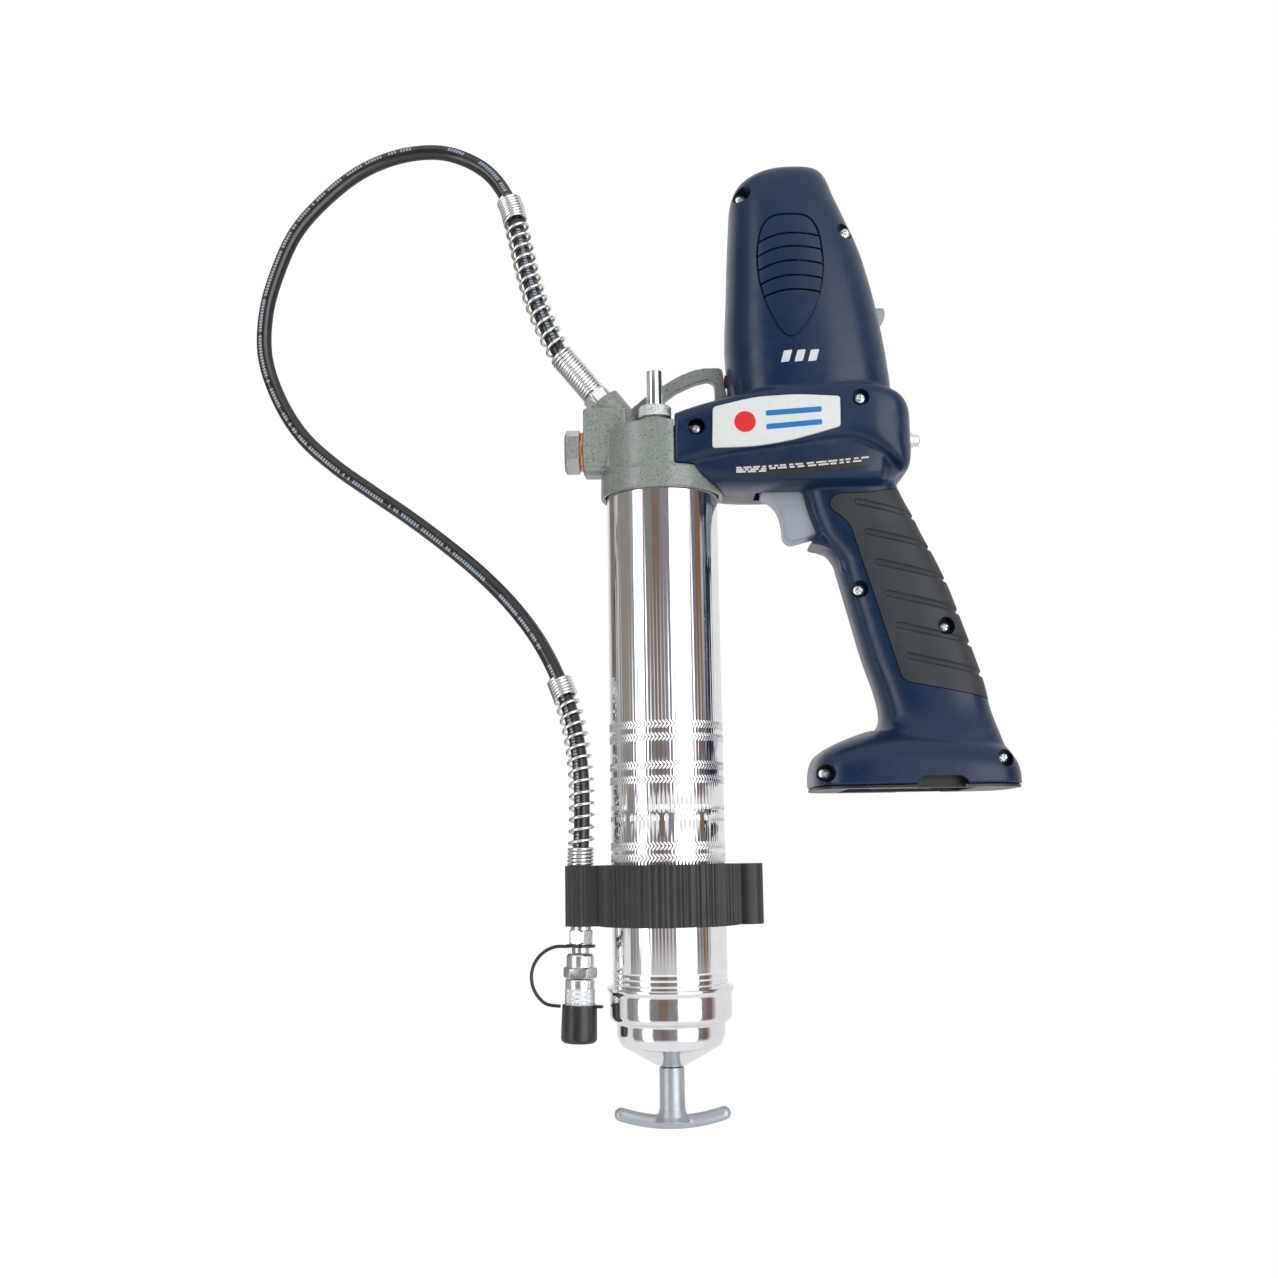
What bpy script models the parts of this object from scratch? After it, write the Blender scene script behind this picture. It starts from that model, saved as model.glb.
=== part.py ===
"""Cordless grease gun, lying on its side with the battery off, as separate parts.

The scene is in metres with +Z up. Dimensions below are millimetres in the gun's own frame, and MM
turns them into metres: x = 0 is the grease tube's axis, y = 0 the bottom of the pump head's collar,
+y points along the tube towards the motor, and z = 0 is the plane that both housing halves meet at.
"""

import math

import bmesh
import bpy
from mathutils import Matrix, Vector

MM = 0.001
GAP = 0.3

# Overall box in the gun frame, which the lay-flat origin comes from.
LEFT_END, RIGHT_END = -51.97, 176.0
LOW_END, HIGH_END = -316.0, 176.4
HALF_DEPTH = 36.0

# Grease tube, end cap and follower.
TUBE_R, TUBE_WALL = 28.6, 1.2
TUBE_TOP, TUBE_END = 7.0, -261.0
COLLAR_R, COLLAR_TOP = 31.7, 12.0
SOCKET_TOP = 9.9
ROD_R, ROD_END = 3.2, -300.0
CUP_TOP, CUP_END = -13.0, -21.0
HANDLE_TOP, HANDLE_BAR = -286.2, -312.8
BAR_HALF, BAR_BOW, BAR_R = 25.2, 3.9, 3.2

# Pump head.
HEAD_R, HEAD_TOP, HEAD_FACE, NUT_LOW = 30.5, 35.0, 6.0, 40.0
BORE_Y, PLUNGER_R = 26.0, 5.0
PLUG_FACE = -40.3
VENT_X, VENT_Z, VENT_R, NUT_R = -3.2, 9.5, 4.1, 8.6
FILL_X, FILL_Z = 0.5, -13.6
BOSS_R = 10.3
PORT = Vector((-31.0, 52.5, 0.0))
PORT_DIRECTION = Vector((-0.62, 0.785, 0.0)).normalized()
ARCH_Z = (-7.2, 0.0)

# Motor and gears, all on one axis.
MOTOR_X = 72.0
CAN_R, CAN_LOW, CAN_HIGH = 18.5, 92.0, 148.0
SUN_TEETH, PLANET_TEETH, RING_TEETH = 9, 12, 33
MODULE = 1.0
ADDENDUM, DEDENDUM = 0.75, 1.1
GEAR_LOW, GEAR_HIGH = 76.0, 85.0
CARRIER_R = (SUN_TEETH + PLANET_TEETH) * MODULE / 2
CRANK_THROW = 6.5

# Housing.
PARTING = 0.15
WALL = 2.6
GRIP_THICK = 2.0
BADGE_Z, LABEL_Z = (34.7, 36.0), (29.9, 30.5)
SCREW_HEAD_R, SCREW_R, RECESS_R, BOSS_TUBE_R = 3.1, 1.5, 4.3, 5.8

# Screws as x, y and the height above the parting plane that the head sits at.
SCREWS = [
    (44.1, 158.1, 10.5),
    (96.6, 135.8, 17.5),
    (100.0, 43.4, 24.0),
    (98.9, -51.3, 8.0),
    (141.6, -70.8, 8.0),
    (77.5, -144.4, 20.0),
    (165.6, -138.1, 20.0),
]
HEAD_SCREW = (17.3, 29.8, 22.5)

# Hose clip and hose.
CLIP_LOW, CLIP_HIGH = -217.4, -187.6
CLIP_R, POCKET_R, POCKET_WALL = 36.0, 7.0, 1.2
LINE_X = -44.2
SPARE_X = 39.4
HOSE_R, GUARD_R, GUARD_WIRE = 4.0, 6.7, 1.6
LINE_TILT = math.radians(-1.6)
LINE_START = Vector((LINE_X, -219.6, 0.0))
LOOP_CENTRE, LOOP_R = (-9.2, -22.9), 15.1

# The hose's centreline from the pump head's fitting to the coupler's fitting.
HOSE_ROUTE = [
    (-45.0, 70.2, -0.2), (-53.0, 81.0, -0.5), (-63.0, 104.0, -3.8), (-70.0, 128.0, -8.9),
    (-75.0, 151.0, -14.6), (-81.5, 175.0, -20.4), (-95.0, 195.0, -25.8), (-117.0, 207.0, -29.9),
    (-141.0, 207.0, -31.7), (-164.0, 198.0, -31.8), (-184.0, 182.0, -31.8), (-200.0, 163.0, -31.8),
    (-210.0, 140.0, -31.8), (-216.0, 116.0, -31.8), (-216.0, 91.0, -31.8), (-208.0, 67.0, -31.8),
    (-195.0, 46.0, -31.8), (-177.0, 29.0, -31.8), (-156.5, 14.0, -31.8), (-136.0, -0.5, -31.8),
    (-116.0, -16.0, -31.8), (-97.5, -32.0, -30.5), (-80.5, -50.0, -26.7), (-66.0, -70.0, -21.4),
    (-55.0, -92.0, -15.1), (-47.5, -115.0, -8.7), (-43.8, -139.0, -3.3), (-43.2, -163.0, -0.4),
    (-44.2, -186.0, 0.0), (-44.2, -200.0, 0.0),
]
HOSE_STEP = 16.0
HEAD_GUARD_LENGTH = 113.0
COUPLER_GUARD_LENGTH = 110.0


for old in list(bpy.data.objects):
    bpy.data.objects.remove(old)

parts = bpy.data.collections.new("grease_gun")
cutters = bpy.data.collections.new("cutters")
bpy.context.scene.collection.children.link(parts)
bpy.context.scene.collection.children.link(cutters)

gun = bpy.data.objects.new("gun_frame", None)
gun.location = Vector((-(LEFT_END + RIGHT_END) / 2, -(LOW_END + HIGH_END) / 2, HALF_DEPTH)) * MM
parts.objects.link(gun)


def look(name, colour, roughness, metallic=0.0):
    """A Principled material in one colour."""
    material = bpy.data.materials.new(name)
    material.use_nodes = True
    shader = material.node_tree.nodes["Principled BSDF"]
    shader.inputs["Base Color"].default_value = (*colour, 1.0)
    shader.inputs["Roughness"].default_value = roughness
    shader.inputs["Metallic"].default_value = metallic
    return material


NAVY = ((0.012, 0.028, 0.085), 0.38)
CASTING = ((0.22, 0.25, 0.23), 0.45)
ZINC = ((0.62, 0.64, 0.66), 0.3, 1.0)
STEEL = ((0.5, 0.5, 0.5), 0.3, 1.0)
CHROME = ((0.8, 0.8, 0.82), 0.08, 1.0)
RUBBER = ((0.03, 0.03, 0.032), 0.7)
DARK_GREY = ((0.045, 0.05, 0.055), 0.6)
LIGHT_GREY = ((0.33, 0.37, 0.41), 0.4)
BLACK = ((0.012, 0.012, 0.013), 0.45)
WHITE = ((0.85, 0.86, 0.86), 0.3)
COPPER = ((0.72, 0.33, 0.2), 0.35, 1.0)
RED = ((0.5, 0.03, 0.02), 0.5)
DIE_CAST = ((0.4, 0.42, 0.44), 0.4, 0.9)
BRASS = ((0.7, 0.5, 0.2), 0.35, 1.0)


def placed(obj, finish, parent=None):
    """Puts an object in the gun's frame, as a part with its own material or, with no finish, a cutter."""
    obj.parent = parent or gun
    if finish is None:
        cutters.objects.link(obj)
        obj.hide_render = True
        obj.display_type = "WIRE"
    else:
        parts.objects.link(obj)
        obj.data.materials.append(look(obj.name, *finish))
    return obj


def mesh_object(name, bm, finish, smooth=False, parent=None):
    """Turns a bmesh in metres into a placed object."""
    mesh = bpy.data.meshes.new(name)
    bm.to_mesh(mesh)
    bm.free()
    if smooth:
        mesh.shade_smooth()
        mesh.set_sharp_from_angle(angle=math.radians(35))
    return placed(bpy.data.objects.new(name, mesh), finish, parent)


def box(name, low, high, finish=None):
    """A box between two corners."""
    bm = bmesh.new()
    bmesh.ops.create_cube(bm, size=1.0)
    size = [(b - a) * MM for a, b in zip(low, high)]
    middle = Vector([(a + b) / 2 * MM for a, b in zip(low, high)])
    bm.transform(Matrix.Translation(middle) @ Matrix.Diagonal((*size, 1.0)))
    return mesh_object(name, bm, finish)


def rod(name, start, end, radius, finish=None, sides=16, end_radius=None, parent=None, turn=0.0):
    """A cylinder or cone from start to end, with its object's origin at the start."""
    start, end = Vector(start), Vector(end)
    bm = bmesh.new()
    length = (end - start).length
    tip = radius if end_radius is None else end_radius
    bmesh.ops.create_cone(
        bm, cap_ends=True, segments=sides, radius1=radius * MM, radius2=tip * MM, depth=length * MM
    )
    bm.transform(Matrix.Rotation(turn, 4, "Z") @ Matrix.Translation((0, 0, length * MM / 2)))
    obj = mesh_object(name, bm, finish, smooth=sides > 6, parent=parent)
    obj.location = start * MM
    obj.rotation_euler = (end - start).to_track_quat("Z", "Y").to_euler()
    return obj


def turned(name, origin, direction, profile, finish=None, steps=20, parent=None):
    """A profile of (radius, height) points turned about a line through origin.

    The profile runs down its outer side. One that starts and ends at radius 0 is a solid, and any
    other is closed into a ring.
    """
    bm = bmesh.new()
    points = [bm.verts.new((r * MM, 0.0, h * MM)) for r, h in profile]
    closed = profile[0][0] > 0
    for a, b in zip(points, points[1:] + points[:1] if closed else points[1:]):
        bm.edges.new((a, b))
    obj = mesh_object(name, bm, finish, parent=parent)
    obj.location = Vector(origin) * MM
    obj.rotation_euler = Vector(direction).to_track_quat("Z", "Y").to_euler()
    screw = obj.modifiers.new("turn", "SCREW")
    screw.steps = screw.render_steps = steps
    screw.use_merge_vertices = True
    screw.merge_threshold = 0.00001
    screw.use_smooth_shade = True
    weld = obj.modifiers.new("weld", "WELD")
    weld.merge_threshold = 0.00001
    return obj


def plate(name, outlines, low, high, finish=None, parent=None):
    """Flat outlines in x and y, filled and extruded from z = low to z = high. Later outlines are holes."""
    curve = bpy.data.curves.new(name, "CURVE")
    curve.dimensions = "2D"
    curve.fill_mode = "BOTH"
    curve.extrude = (high - low) * MM / 2
    for outline in outlines:
        spline = curve.splines.new("POLY")
        spline.points.add(len(outline) - 1)
        for point, (x, y) in zip(spline.points, outline):
            point.co = (x * MM, y * MM, 0.0, 1.0)
        spline.use_cyclic_u = True
    return solid_curve(name, curve, Matrix.Translation((0, 0, (low + high) / 2 * MM)), finish, parent)


def solid_curve(name, curve, place, finish, parent=None):
    """Makes a curve a mesh with its caps welded on."""
    source = bpy.data.objects.new(name + "_curve", curve)
    bpy.context.scene.collection.objects.link(source)
    depsgraph = bpy.context.evaluated_depsgraph_get()
    mesh = bpy.data.meshes.new_from_object(source.evaluated_get(depsgraph))
    bpy.data.objects.remove(source)
    bm = bmesh.new()
    bm.from_mesh(mesh)
    bpy.data.meshes.remove(mesh)
    bm.transform(place)
    bmesh.ops.remove_doubles(bm, verts=bm.verts, dist=0.000002)
    bmesh.ops.recalc_face_normals(bm, faces=bm.faces)
    return mesh_object(name, bm, finish, parent=parent)


def tube_along(name, points, radius, finish, sides_level=2, caps=True, parent=None):
    """A round bar along points in millimetres."""
    curve = bpy.data.curves.new(name, "CURVE")
    curve.dimensions = "3D"
    curve.bevel_depth = radius * MM
    curve.bevel_resolution = sides_level
    curve.use_fill_caps = caps
    spline = curve.splines.new("POLY")
    spline.points.add(len(points) - 1)
    for point, place in zip(spline.points, points):
        point.co = (*(Vector(place) * MM), 1.0)
    return solid_curve(name, curve, Matrix.Identity(4), finish, parent)


def boolean(target, operation, *others):
    """Adds one Boolean for each of the others, in order."""
    for other in others:
        modifier = target.modifiers.new(operation.lower(), "BOOLEAN")
        modifier.operation = operation
        modifier.solver = "EXACT"
        modifier.object = other
    return target


def cut(target, *others):
    return boolean(target, "DIFFERENCE", *others)


def join(target, *others):
    return boolean(target, "UNION", *others)


def arc(centre, radius, start, end, steps):
    """Points on a circle's arc, with angles in degrees."""
    angles = [math.radians(start + (end - start) * k / steps) for k in range(steps + 1)]
    return [(centre[0] + radius * math.cos(a), centre[1] + radius * math.sin(a)) for a in angles]


def along_y(obj):
    """Turns an object that was drawn flat so that its thickness runs along the gun's y."""
    obj.rotation_euler = (-math.pi / 2, 0, 0)


# ---------------------------------------------------------------- housing


def section(front, back, half_depth, squareness, inset, sides):
    """A rounded section between two points of the side view, as deep as half_depth each way."""
    front, back = Vector((*front, 0)), Vector((*back, 0))
    middle, half = (front + back) / 2, (back - front) / 2
    across = half.normalized() * (half.length - inset)
    points = []
    for k in range(sides):
        angle = 2 * math.pi * k / sides
        c, s = math.cos(angle), math.sin(angle)
        u = math.copysign(abs(c) ** (2 / squareness), c)
        v = math.copysign(abs(s) ** (2 / squareness), s)
        points.append((middle + across * u + Vector((0, 0, (half_depth - inset) * v))) * MM)
    return points


def loft(name, sections, inset=0.0, sides=14):
    """A closed skin through sections of (front, back, half_depth, squareness)."""
    bm = bmesh.new()
    rings = [[bm.verts.new(p) for p in section(*s, inset, sides)] for s in sections]
    for a, b in zip(rings, rings[1:]):
        for k in range(sides):
            bm.faces.new((a[k], a[(k + 1) % sides], b[(k + 1) % sides], b[k]))
    bm.faces.new(rings[0])
    bm.faces.new(rings[-1])
    bmesh.ops.recalc_face_normals(bm, faces=bm.faces)
    return mesh_object(name, bm, None)


def level(y, left, right, half_depth, squareness=2.6):
    """A section across the gun at one height."""
    return ((left, y), (right, y), half_depth, squareness)


def upright(x, low, high, half_depth, squareness=5.0):
    """A section across the gun at one distance from the tube."""
    return ((x, low), (x, high), half_depth, squareness)


BARREL = [
    level(20, 40, 116, 30), level(50, 36, 120, 33), level(68, 34.8, 118.8, 33.5),
    level(85, 34.4, 116.4, 33.2), level(107, 35.6, 112.2, 32.4), level(129, 36.6, 106.4, 31.2),
    level(148, 37.8, 98.8, 29.4), level(159, 38.8, 94.2, 27.5), level(167, 42.6, 91.4, 25.0),
    level(172.8, 51.5, 88.8, 20.0), level(HIGH_END, 66.0, 85.4, 11.0),
]
BAND = [
    upright(6.3, 9, 39.8, 29), upright(14, 11, 41.8, 31.5), upright(25, 13.5, 44.4, 34.4),
    upright(45, 16, 49.6, 34.4), upright(69, 19, 53.2, 34.4), upright(94, 22, 53.8, 34.4),
    upright(110, 16, 52.6, 34.4), upright(119.6, 9.5, 49.4, 32), upright(124.6, 9, 45.2, 27),
    upright(126.6, 14, 41.4, 21),
]
LOWER_BODY = [
    upright(6.4, 9, 30, 27, 4.0), upright(30, 1.6, 30, 29, 4.0), upright(60, 1.0, 34, 29.6, 5.0),
    upright(104, 1.0, 34, 29.6, 5.0), upright(114, 2.6, 34, 26, 4.0), upright(120.4, 6, 32, 21, 3.5),
]
HANDLE = [
    ((71, 18), (118, 24), 19, 3.0), ((71.5, 1), (122, 2.6), 19, 3.0),
    ((78, -21), (128.8, -12), 19, 3.0), ((87.6, -34.5), (133.4, -22.5), 19, 3.0),
    ((90.4, -44), (138.2, -32), 19, 3.0), ((95.8, -64.8), (145.4, -48.5), 19.2, 3.0),
    ((101.2, -85.6), (152.2, -68.6), 19.6, 3.0), ((106.3, -101.2), (157.2, -84), 20, 3.0),
    ((108.9, -113.9), (161.4, -98), 21, 3.0), ((107, -121), (164.2, -112), 23, 3.0),
    ((99, -127), (168.2, -125.5), 27, 3.2), ((91, -136), (171.6, -137), 30, 3.6),
]
FOOT = [
    ((101, -122.6), (167, -128.4), 24, 3.2), ((86, -128.2), (171, -133), 31, 3.6),
    ((76, -134.2), (173.8, -138), 34.4, 4.0), ((72.8, -141.5), (175.4, -143.5), HALF_DEPTH, 4.4),
    level(-150.6, 72.4, RIGHT_END, HALF_DEPTH, 4.4),
]
TRIGGER_LIP = [(75.2, -26.6), (78.3, -21.2), (94, -22), (94, -44), (90.2, -43.6), (88, -35.2), (86, -31.4)]
TRIGGER_WINDOW = [
    (50.2, -40), (50.2, 4.4), (51.6, 5.8), (66, 5.8), (70.2, 3.4), (72, -2), (77.7, -22.0),
    (75.0, -26.5), (66, -40),
]
GRIP = [
    (86.6, -3.6), (90, -2.4), (104, -2.2), (119, 0.6), (131, 2.0), (190, -40), (175, -108.6),
    (163, -107.6), (121, -99.0), (118, -96.6), (104.5, -50), (97.5, -27), (95.5, -19.5), (91, -14),
    (86.2, -10.6), (84.6, -7.0),
]


def grown(outline, amount):
    """The outline with each of its sides moved out by amount. It is drawn clockwise."""
    found = []
    points = [Vector(p) for p in outline]
    for before, here, after in zip(points[-1:] + points, points, points[1:] + points[:1]):
        first, second = (here - before).normalized(), (after - here).normalized()
        out = Vector((-first.y, first.x)) + Vector((-second.y, second.x))
        found.append(tuple(here + out * (amount * 2 / out.length_squared)))
    return found


def stretched(sections, start=0.0, end=0.0):
    """The same loft with its first and last sections moved out along y or x, to open a shell's end."""
    (front, back, depth, square), (front2, back2, depth2, square2) = sections[0], sections[-1]
    first = ((front[0] + start, front[1]), (back[0] + start, back[1]), depth, square)
    last = ((front2[0], front2[1] + end), (back2[0], back2[1] + end), depth2, square2)
    return [first, *sections[1:-1], last]


def housing_form():
    """The outside of both halves together."""
    form = loft("form_barrel", BARREL, sides=16)
    lip = plate("form_lip", [TRIGGER_LIP], -13, 13)
    return join(
        form, loft("form_band", BAND, sides=16), loft("form_lower", LOWER_BODY),
        loft("form_handle", HANDLE), loft("form_foot", FOOT, sides=16), lip,
    )


def housing_cavity():
    """The space inside, less the screw bosses and the two ribs that hold the motor."""
    low_barrel = [s for s in BARREL if s[0][1] < HIGH_END - 2]
    cavity = loft("space_barrel", low_barrel, WALL, sides=16)
    join(
        cavity,
        loft("space_band", stretched(BAND[:-1], start=-4.0), WALL, sides=16),
        loft("space_lower", stretched(LOWER_BODY[:-1], start=-4.0), WALL),
        loft("space_handle", HANDLE, WALL + GRIP_THICK + GAP),
        loft("space_foot", stretched(FOOT, end=-4.0), WALL, sides=16),
    )
    for k, (x, y, _) in enumerate(SCREWS):
        cut(cavity, rod(f"boss_{k}", (x, y, -40), (x, y, 40), BOSS_TUBE_R, sides=8))
    for k, y in enumerate((95.0, 143.0)):
        cut(cavity, box(f"motor_rib_{k}", (30, y, -40), (120, y + 2.4, 40)))
    return cavity


def build_housing():
    form, cavity = housing_form(), housing_cavity()
    handle_core = loft("handle_core", HANDLE, GRIP_THICK + GAP)
    grip_pocket = cut(plate("grip_pocket", [grown(GRIP, GAP)], -40, 40), handle_core)
    openings = [
        grip_pocket,
        plate("trigger_window", [TRIGGER_WINDOW], -40, 40),
        box("trigger_slot", (48, -25.2, -8.4), (91, 7.2, 8.4)),
        rod("collar_relief", (0, -5, 0), (0, COLLAR_TOP + GAP, 0), COLLAR_R + GAP, sides=32),
        rod("motor_relief", (MOTOR_X, 80, 0), (MOTOR_X, 150, 0), CAN_R + GAP, sides=20),
        box("arch_notch", (28.0, 46, ARCH_Z[0] - GAP), (36.4, 62, ARCH_Z[1] + GAP)),
        box("selector_slot", (104, 82.6, -3.8), (124, 102.2, 3.8)),
        box("selector_room", (104, 78, -7.2), (110.2, 108, 7.2)),
        rod("bolt_hole", (118, 29.8, 0), (135, 29.8, 0), 2.4, sides=12),
    ]
    for side in (-1, 1):
        low, high = sorted((side * 20, side * 44))
        openings.append(box(f"latch_notch_{side}", (121, -160, low), (145.6, -146.6, high)))
    cut(form, cavity, *openings, *screw_holes())
    halves = {"near": (PARTING, 45), "far": (-45, -PARTING)}
    for name, (low, high) in halves.items():
        half = box(f"housing_{name}", (-10, -170, low), (200, 200, high), NAVY)
        boolean(half, "INTERSECT", form)
        half.modifiers[0].solver = "MANIFOLD"
    grip_core = loft("grip_core", HANDLE, GRIP_THICK)
    handle_form = loft("grip_form", HANDLE)
    outline = plate("grip_outline", [GRIP], -40, 40)
    for name, (low, high) in halves.items():
        grip = box(f"grip_insert_{name}", (60, -130, low), (200, 40, high), DARK_GREY)
        boolean(grip, "INTERSECT", handle_form, outline)
        cut(grip, grip_core)
        if name == "near":
            x, y, seat = SCREWS[4]
            cut(grip, rod("grip_recess", (x, y, seat), (x, y, 60), BOSS_TUBE_R, sides=8))


def screw_holes():
    """Counterbores in the near half, clearance for the shanks and blind pilots in the far half."""
    found = []
    for k, (x, y, seat) in enumerate([*SCREWS, HEAD_SCREW]):
        found.append(rod(f"recess_{k}", (x, y, seat), (x, y, 60), RECESS_R, sides=8))
        end = 1 if (x, y, seat) == HEAD_SCREW else -13
        found.append(rod(f"clearance_{k}", (x, y, end), (x, y, seat + 1), SCREW_R + GAP, sides=6))
    return found


def build_screws():
    """Pan-head screws: a head under the near half's surface and a shank into the far half."""
    for k, (x, y, seat) in enumerate([*SCREWS, HEAD_SCREW]):
        end = seat - 13 if (x, y, seat) == HEAD_SCREW else -11.0
        top = seat + GAP + 2.4
        profile = [
            (0, top), (SCREW_HEAD_R * 0.7, top), (SCREW_HEAD_R, top - 0.8), (SCREW_HEAD_R, seat + GAP),
            (SCREW_R, seat + GAP), (SCREW_R, end), (0, end),
        ]
        turned(f"housing_screw_{k + 1}", (x, y, 0), (0, 0, 1), profile, ZINC, steps=8)


def build_badges():
    """A curved-sided badge plate on each side, and the rating plate below it on the near side."""
    outline = [
        (27.0, 39.4), (34, 41.4), (45, 43.4), (57, 44.4), (70, 44.8), (82, 44.4), (88, 43.8),
        (89.7, 42.0), (89.4, 29.8), (88, 28.2), (75, 24.2), (62, 21.0), (48, 18.8), (35, 18.0),
        (26.6, 18.0), (25.0, 19.6), (25.3, 37.6),
    ]
    plate("badge_plate_near", [outline], *BADGE_Z, WHITE)
    plate("badge_plate_far", [outline], -BADGE_Z[1], -BADGE_Z[0], WHITE)
    label = [
        (35.6, 10.2), (60, 11.2), (82, 12.8), (103.4, 15.2), (103.6, 9.0), (82, 6.6), (60, 5.6),
        (35.2, 6.0),
    ]
    plate("rating_label", [label], *LABEL_Z, BLACK)


def build_controls():
    trigger_side = [
        (50.8, 5.3), (50.8, -0.6), (55.5, -2.2), (58.8, -5.4), (61.0, -10.5), (62.0, -17),
        (62.2, -22.4), (65.8, -24.8), (77.2, -21.9), (84, -20.6), (84, 3.4), (70, 3.0), (66, 5.3),
    ]
    plate("trigger", [trigger_side], -7.8, 7.8, LIGHT_GREY)
    switch = box("trigger_switch", (92.5, -22, -8), (112, -2, 8), BLACK)
    join(switch, rod("switch_nose", (90.6, -9, 0), (94, -9, 0), 2.5, sides=12))
    selector = box("speed_selector", (107.0, 88, -6.4), (109.6, 105, 6.4), LIGHT_GREY)
    knob_side = [(109, 91.8), (117.2, 91.8), (119.4, 97.6), (117.0, 101.2), (109, 101.2)]
    join(selector, plate("selector_knob", [knob_side], -3.4, 3.4))
    turned(
        "end_bolt", (0, 29.8, 0), (1, 0, 0),
        [(0, 135.0), (3.4, 135.0), (4.3, 134.0), (4.3, 127.1), (2.1, 127.1), (2.1, 119.0), (0, 119.0)],
        ZINC, steps=12,
    )


def build_battery_base():
    """The black base that the battery latches to, with a pocket for the battery's terminal block."""
    base = box("battery_base", (85, -151.0, -27), (156, -144.4, 27), BLACK)
    rim = [level(y, 72.4, RIGHT_END, HALF_DEPTH, 4.4) for y in (-150.9, -152.1)]
    join(base, loft("base_flange", rim, inset=2.2, sides=16))
    cut(base, box("battery_pocket", (89, -160, -23), (152, -146.4, 23)))
    join(base, box("terminal_block", (104, -151.0, -12), (136, -145.4, 12)))
    for z in (-8, 0, 8):
        cut(base, box(f"terminal_slot_{z}", (108, -160, z - 1), (132, -147.6, z + 1)))


# ---------------------------------------------------------------- motor and gears


def gear_outline(teeth, phase, inside=False):
    """A gear's teeth as narrow trapezoids, with room for backlash. phase turns the first tooth."""
    pitch = teeth * MODULE / 2
    tip, root = pitch + ADDENDUM * MODULE, pitch - DEDENDUM * MODULE
    widths = ((root, 0.27), (tip, 0.10))
    if inside:
        tip, root = pitch - ADDENDUM * MODULE, pitch + DEDENDUM * MODULE
        widths = ((root, 0.27), (tip, 0.10))
    points = []
    for k in range(teeth):
        middle = phase + 2 * math.pi * k / teeth
        step = 2 * math.pi / teeth
        for radius, half in (widths[0], widths[1]):
            points.append((radius, middle - half * step))
        for radius, half in (widths[1], widths[0]):
            points.append((radius, middle + half * step))
    return [(r * math.cos(a), r * math.sin(a)) for r, a in points]


def circle(radius, count):
    return arc((0, 0), radius, 0, 360 - 360 / count, count - 1)


def gear(name, place, teeth, phase, bore, low, high, finish):
    """An outside gear about an axis along the gun's y."""
    wheel = plate(name, [gear_outline(teeth, phase), circle(bore, 12)], low, high, finish)
    wheel.location = Vector(place) * MM
    along_y(wheel)


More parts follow.
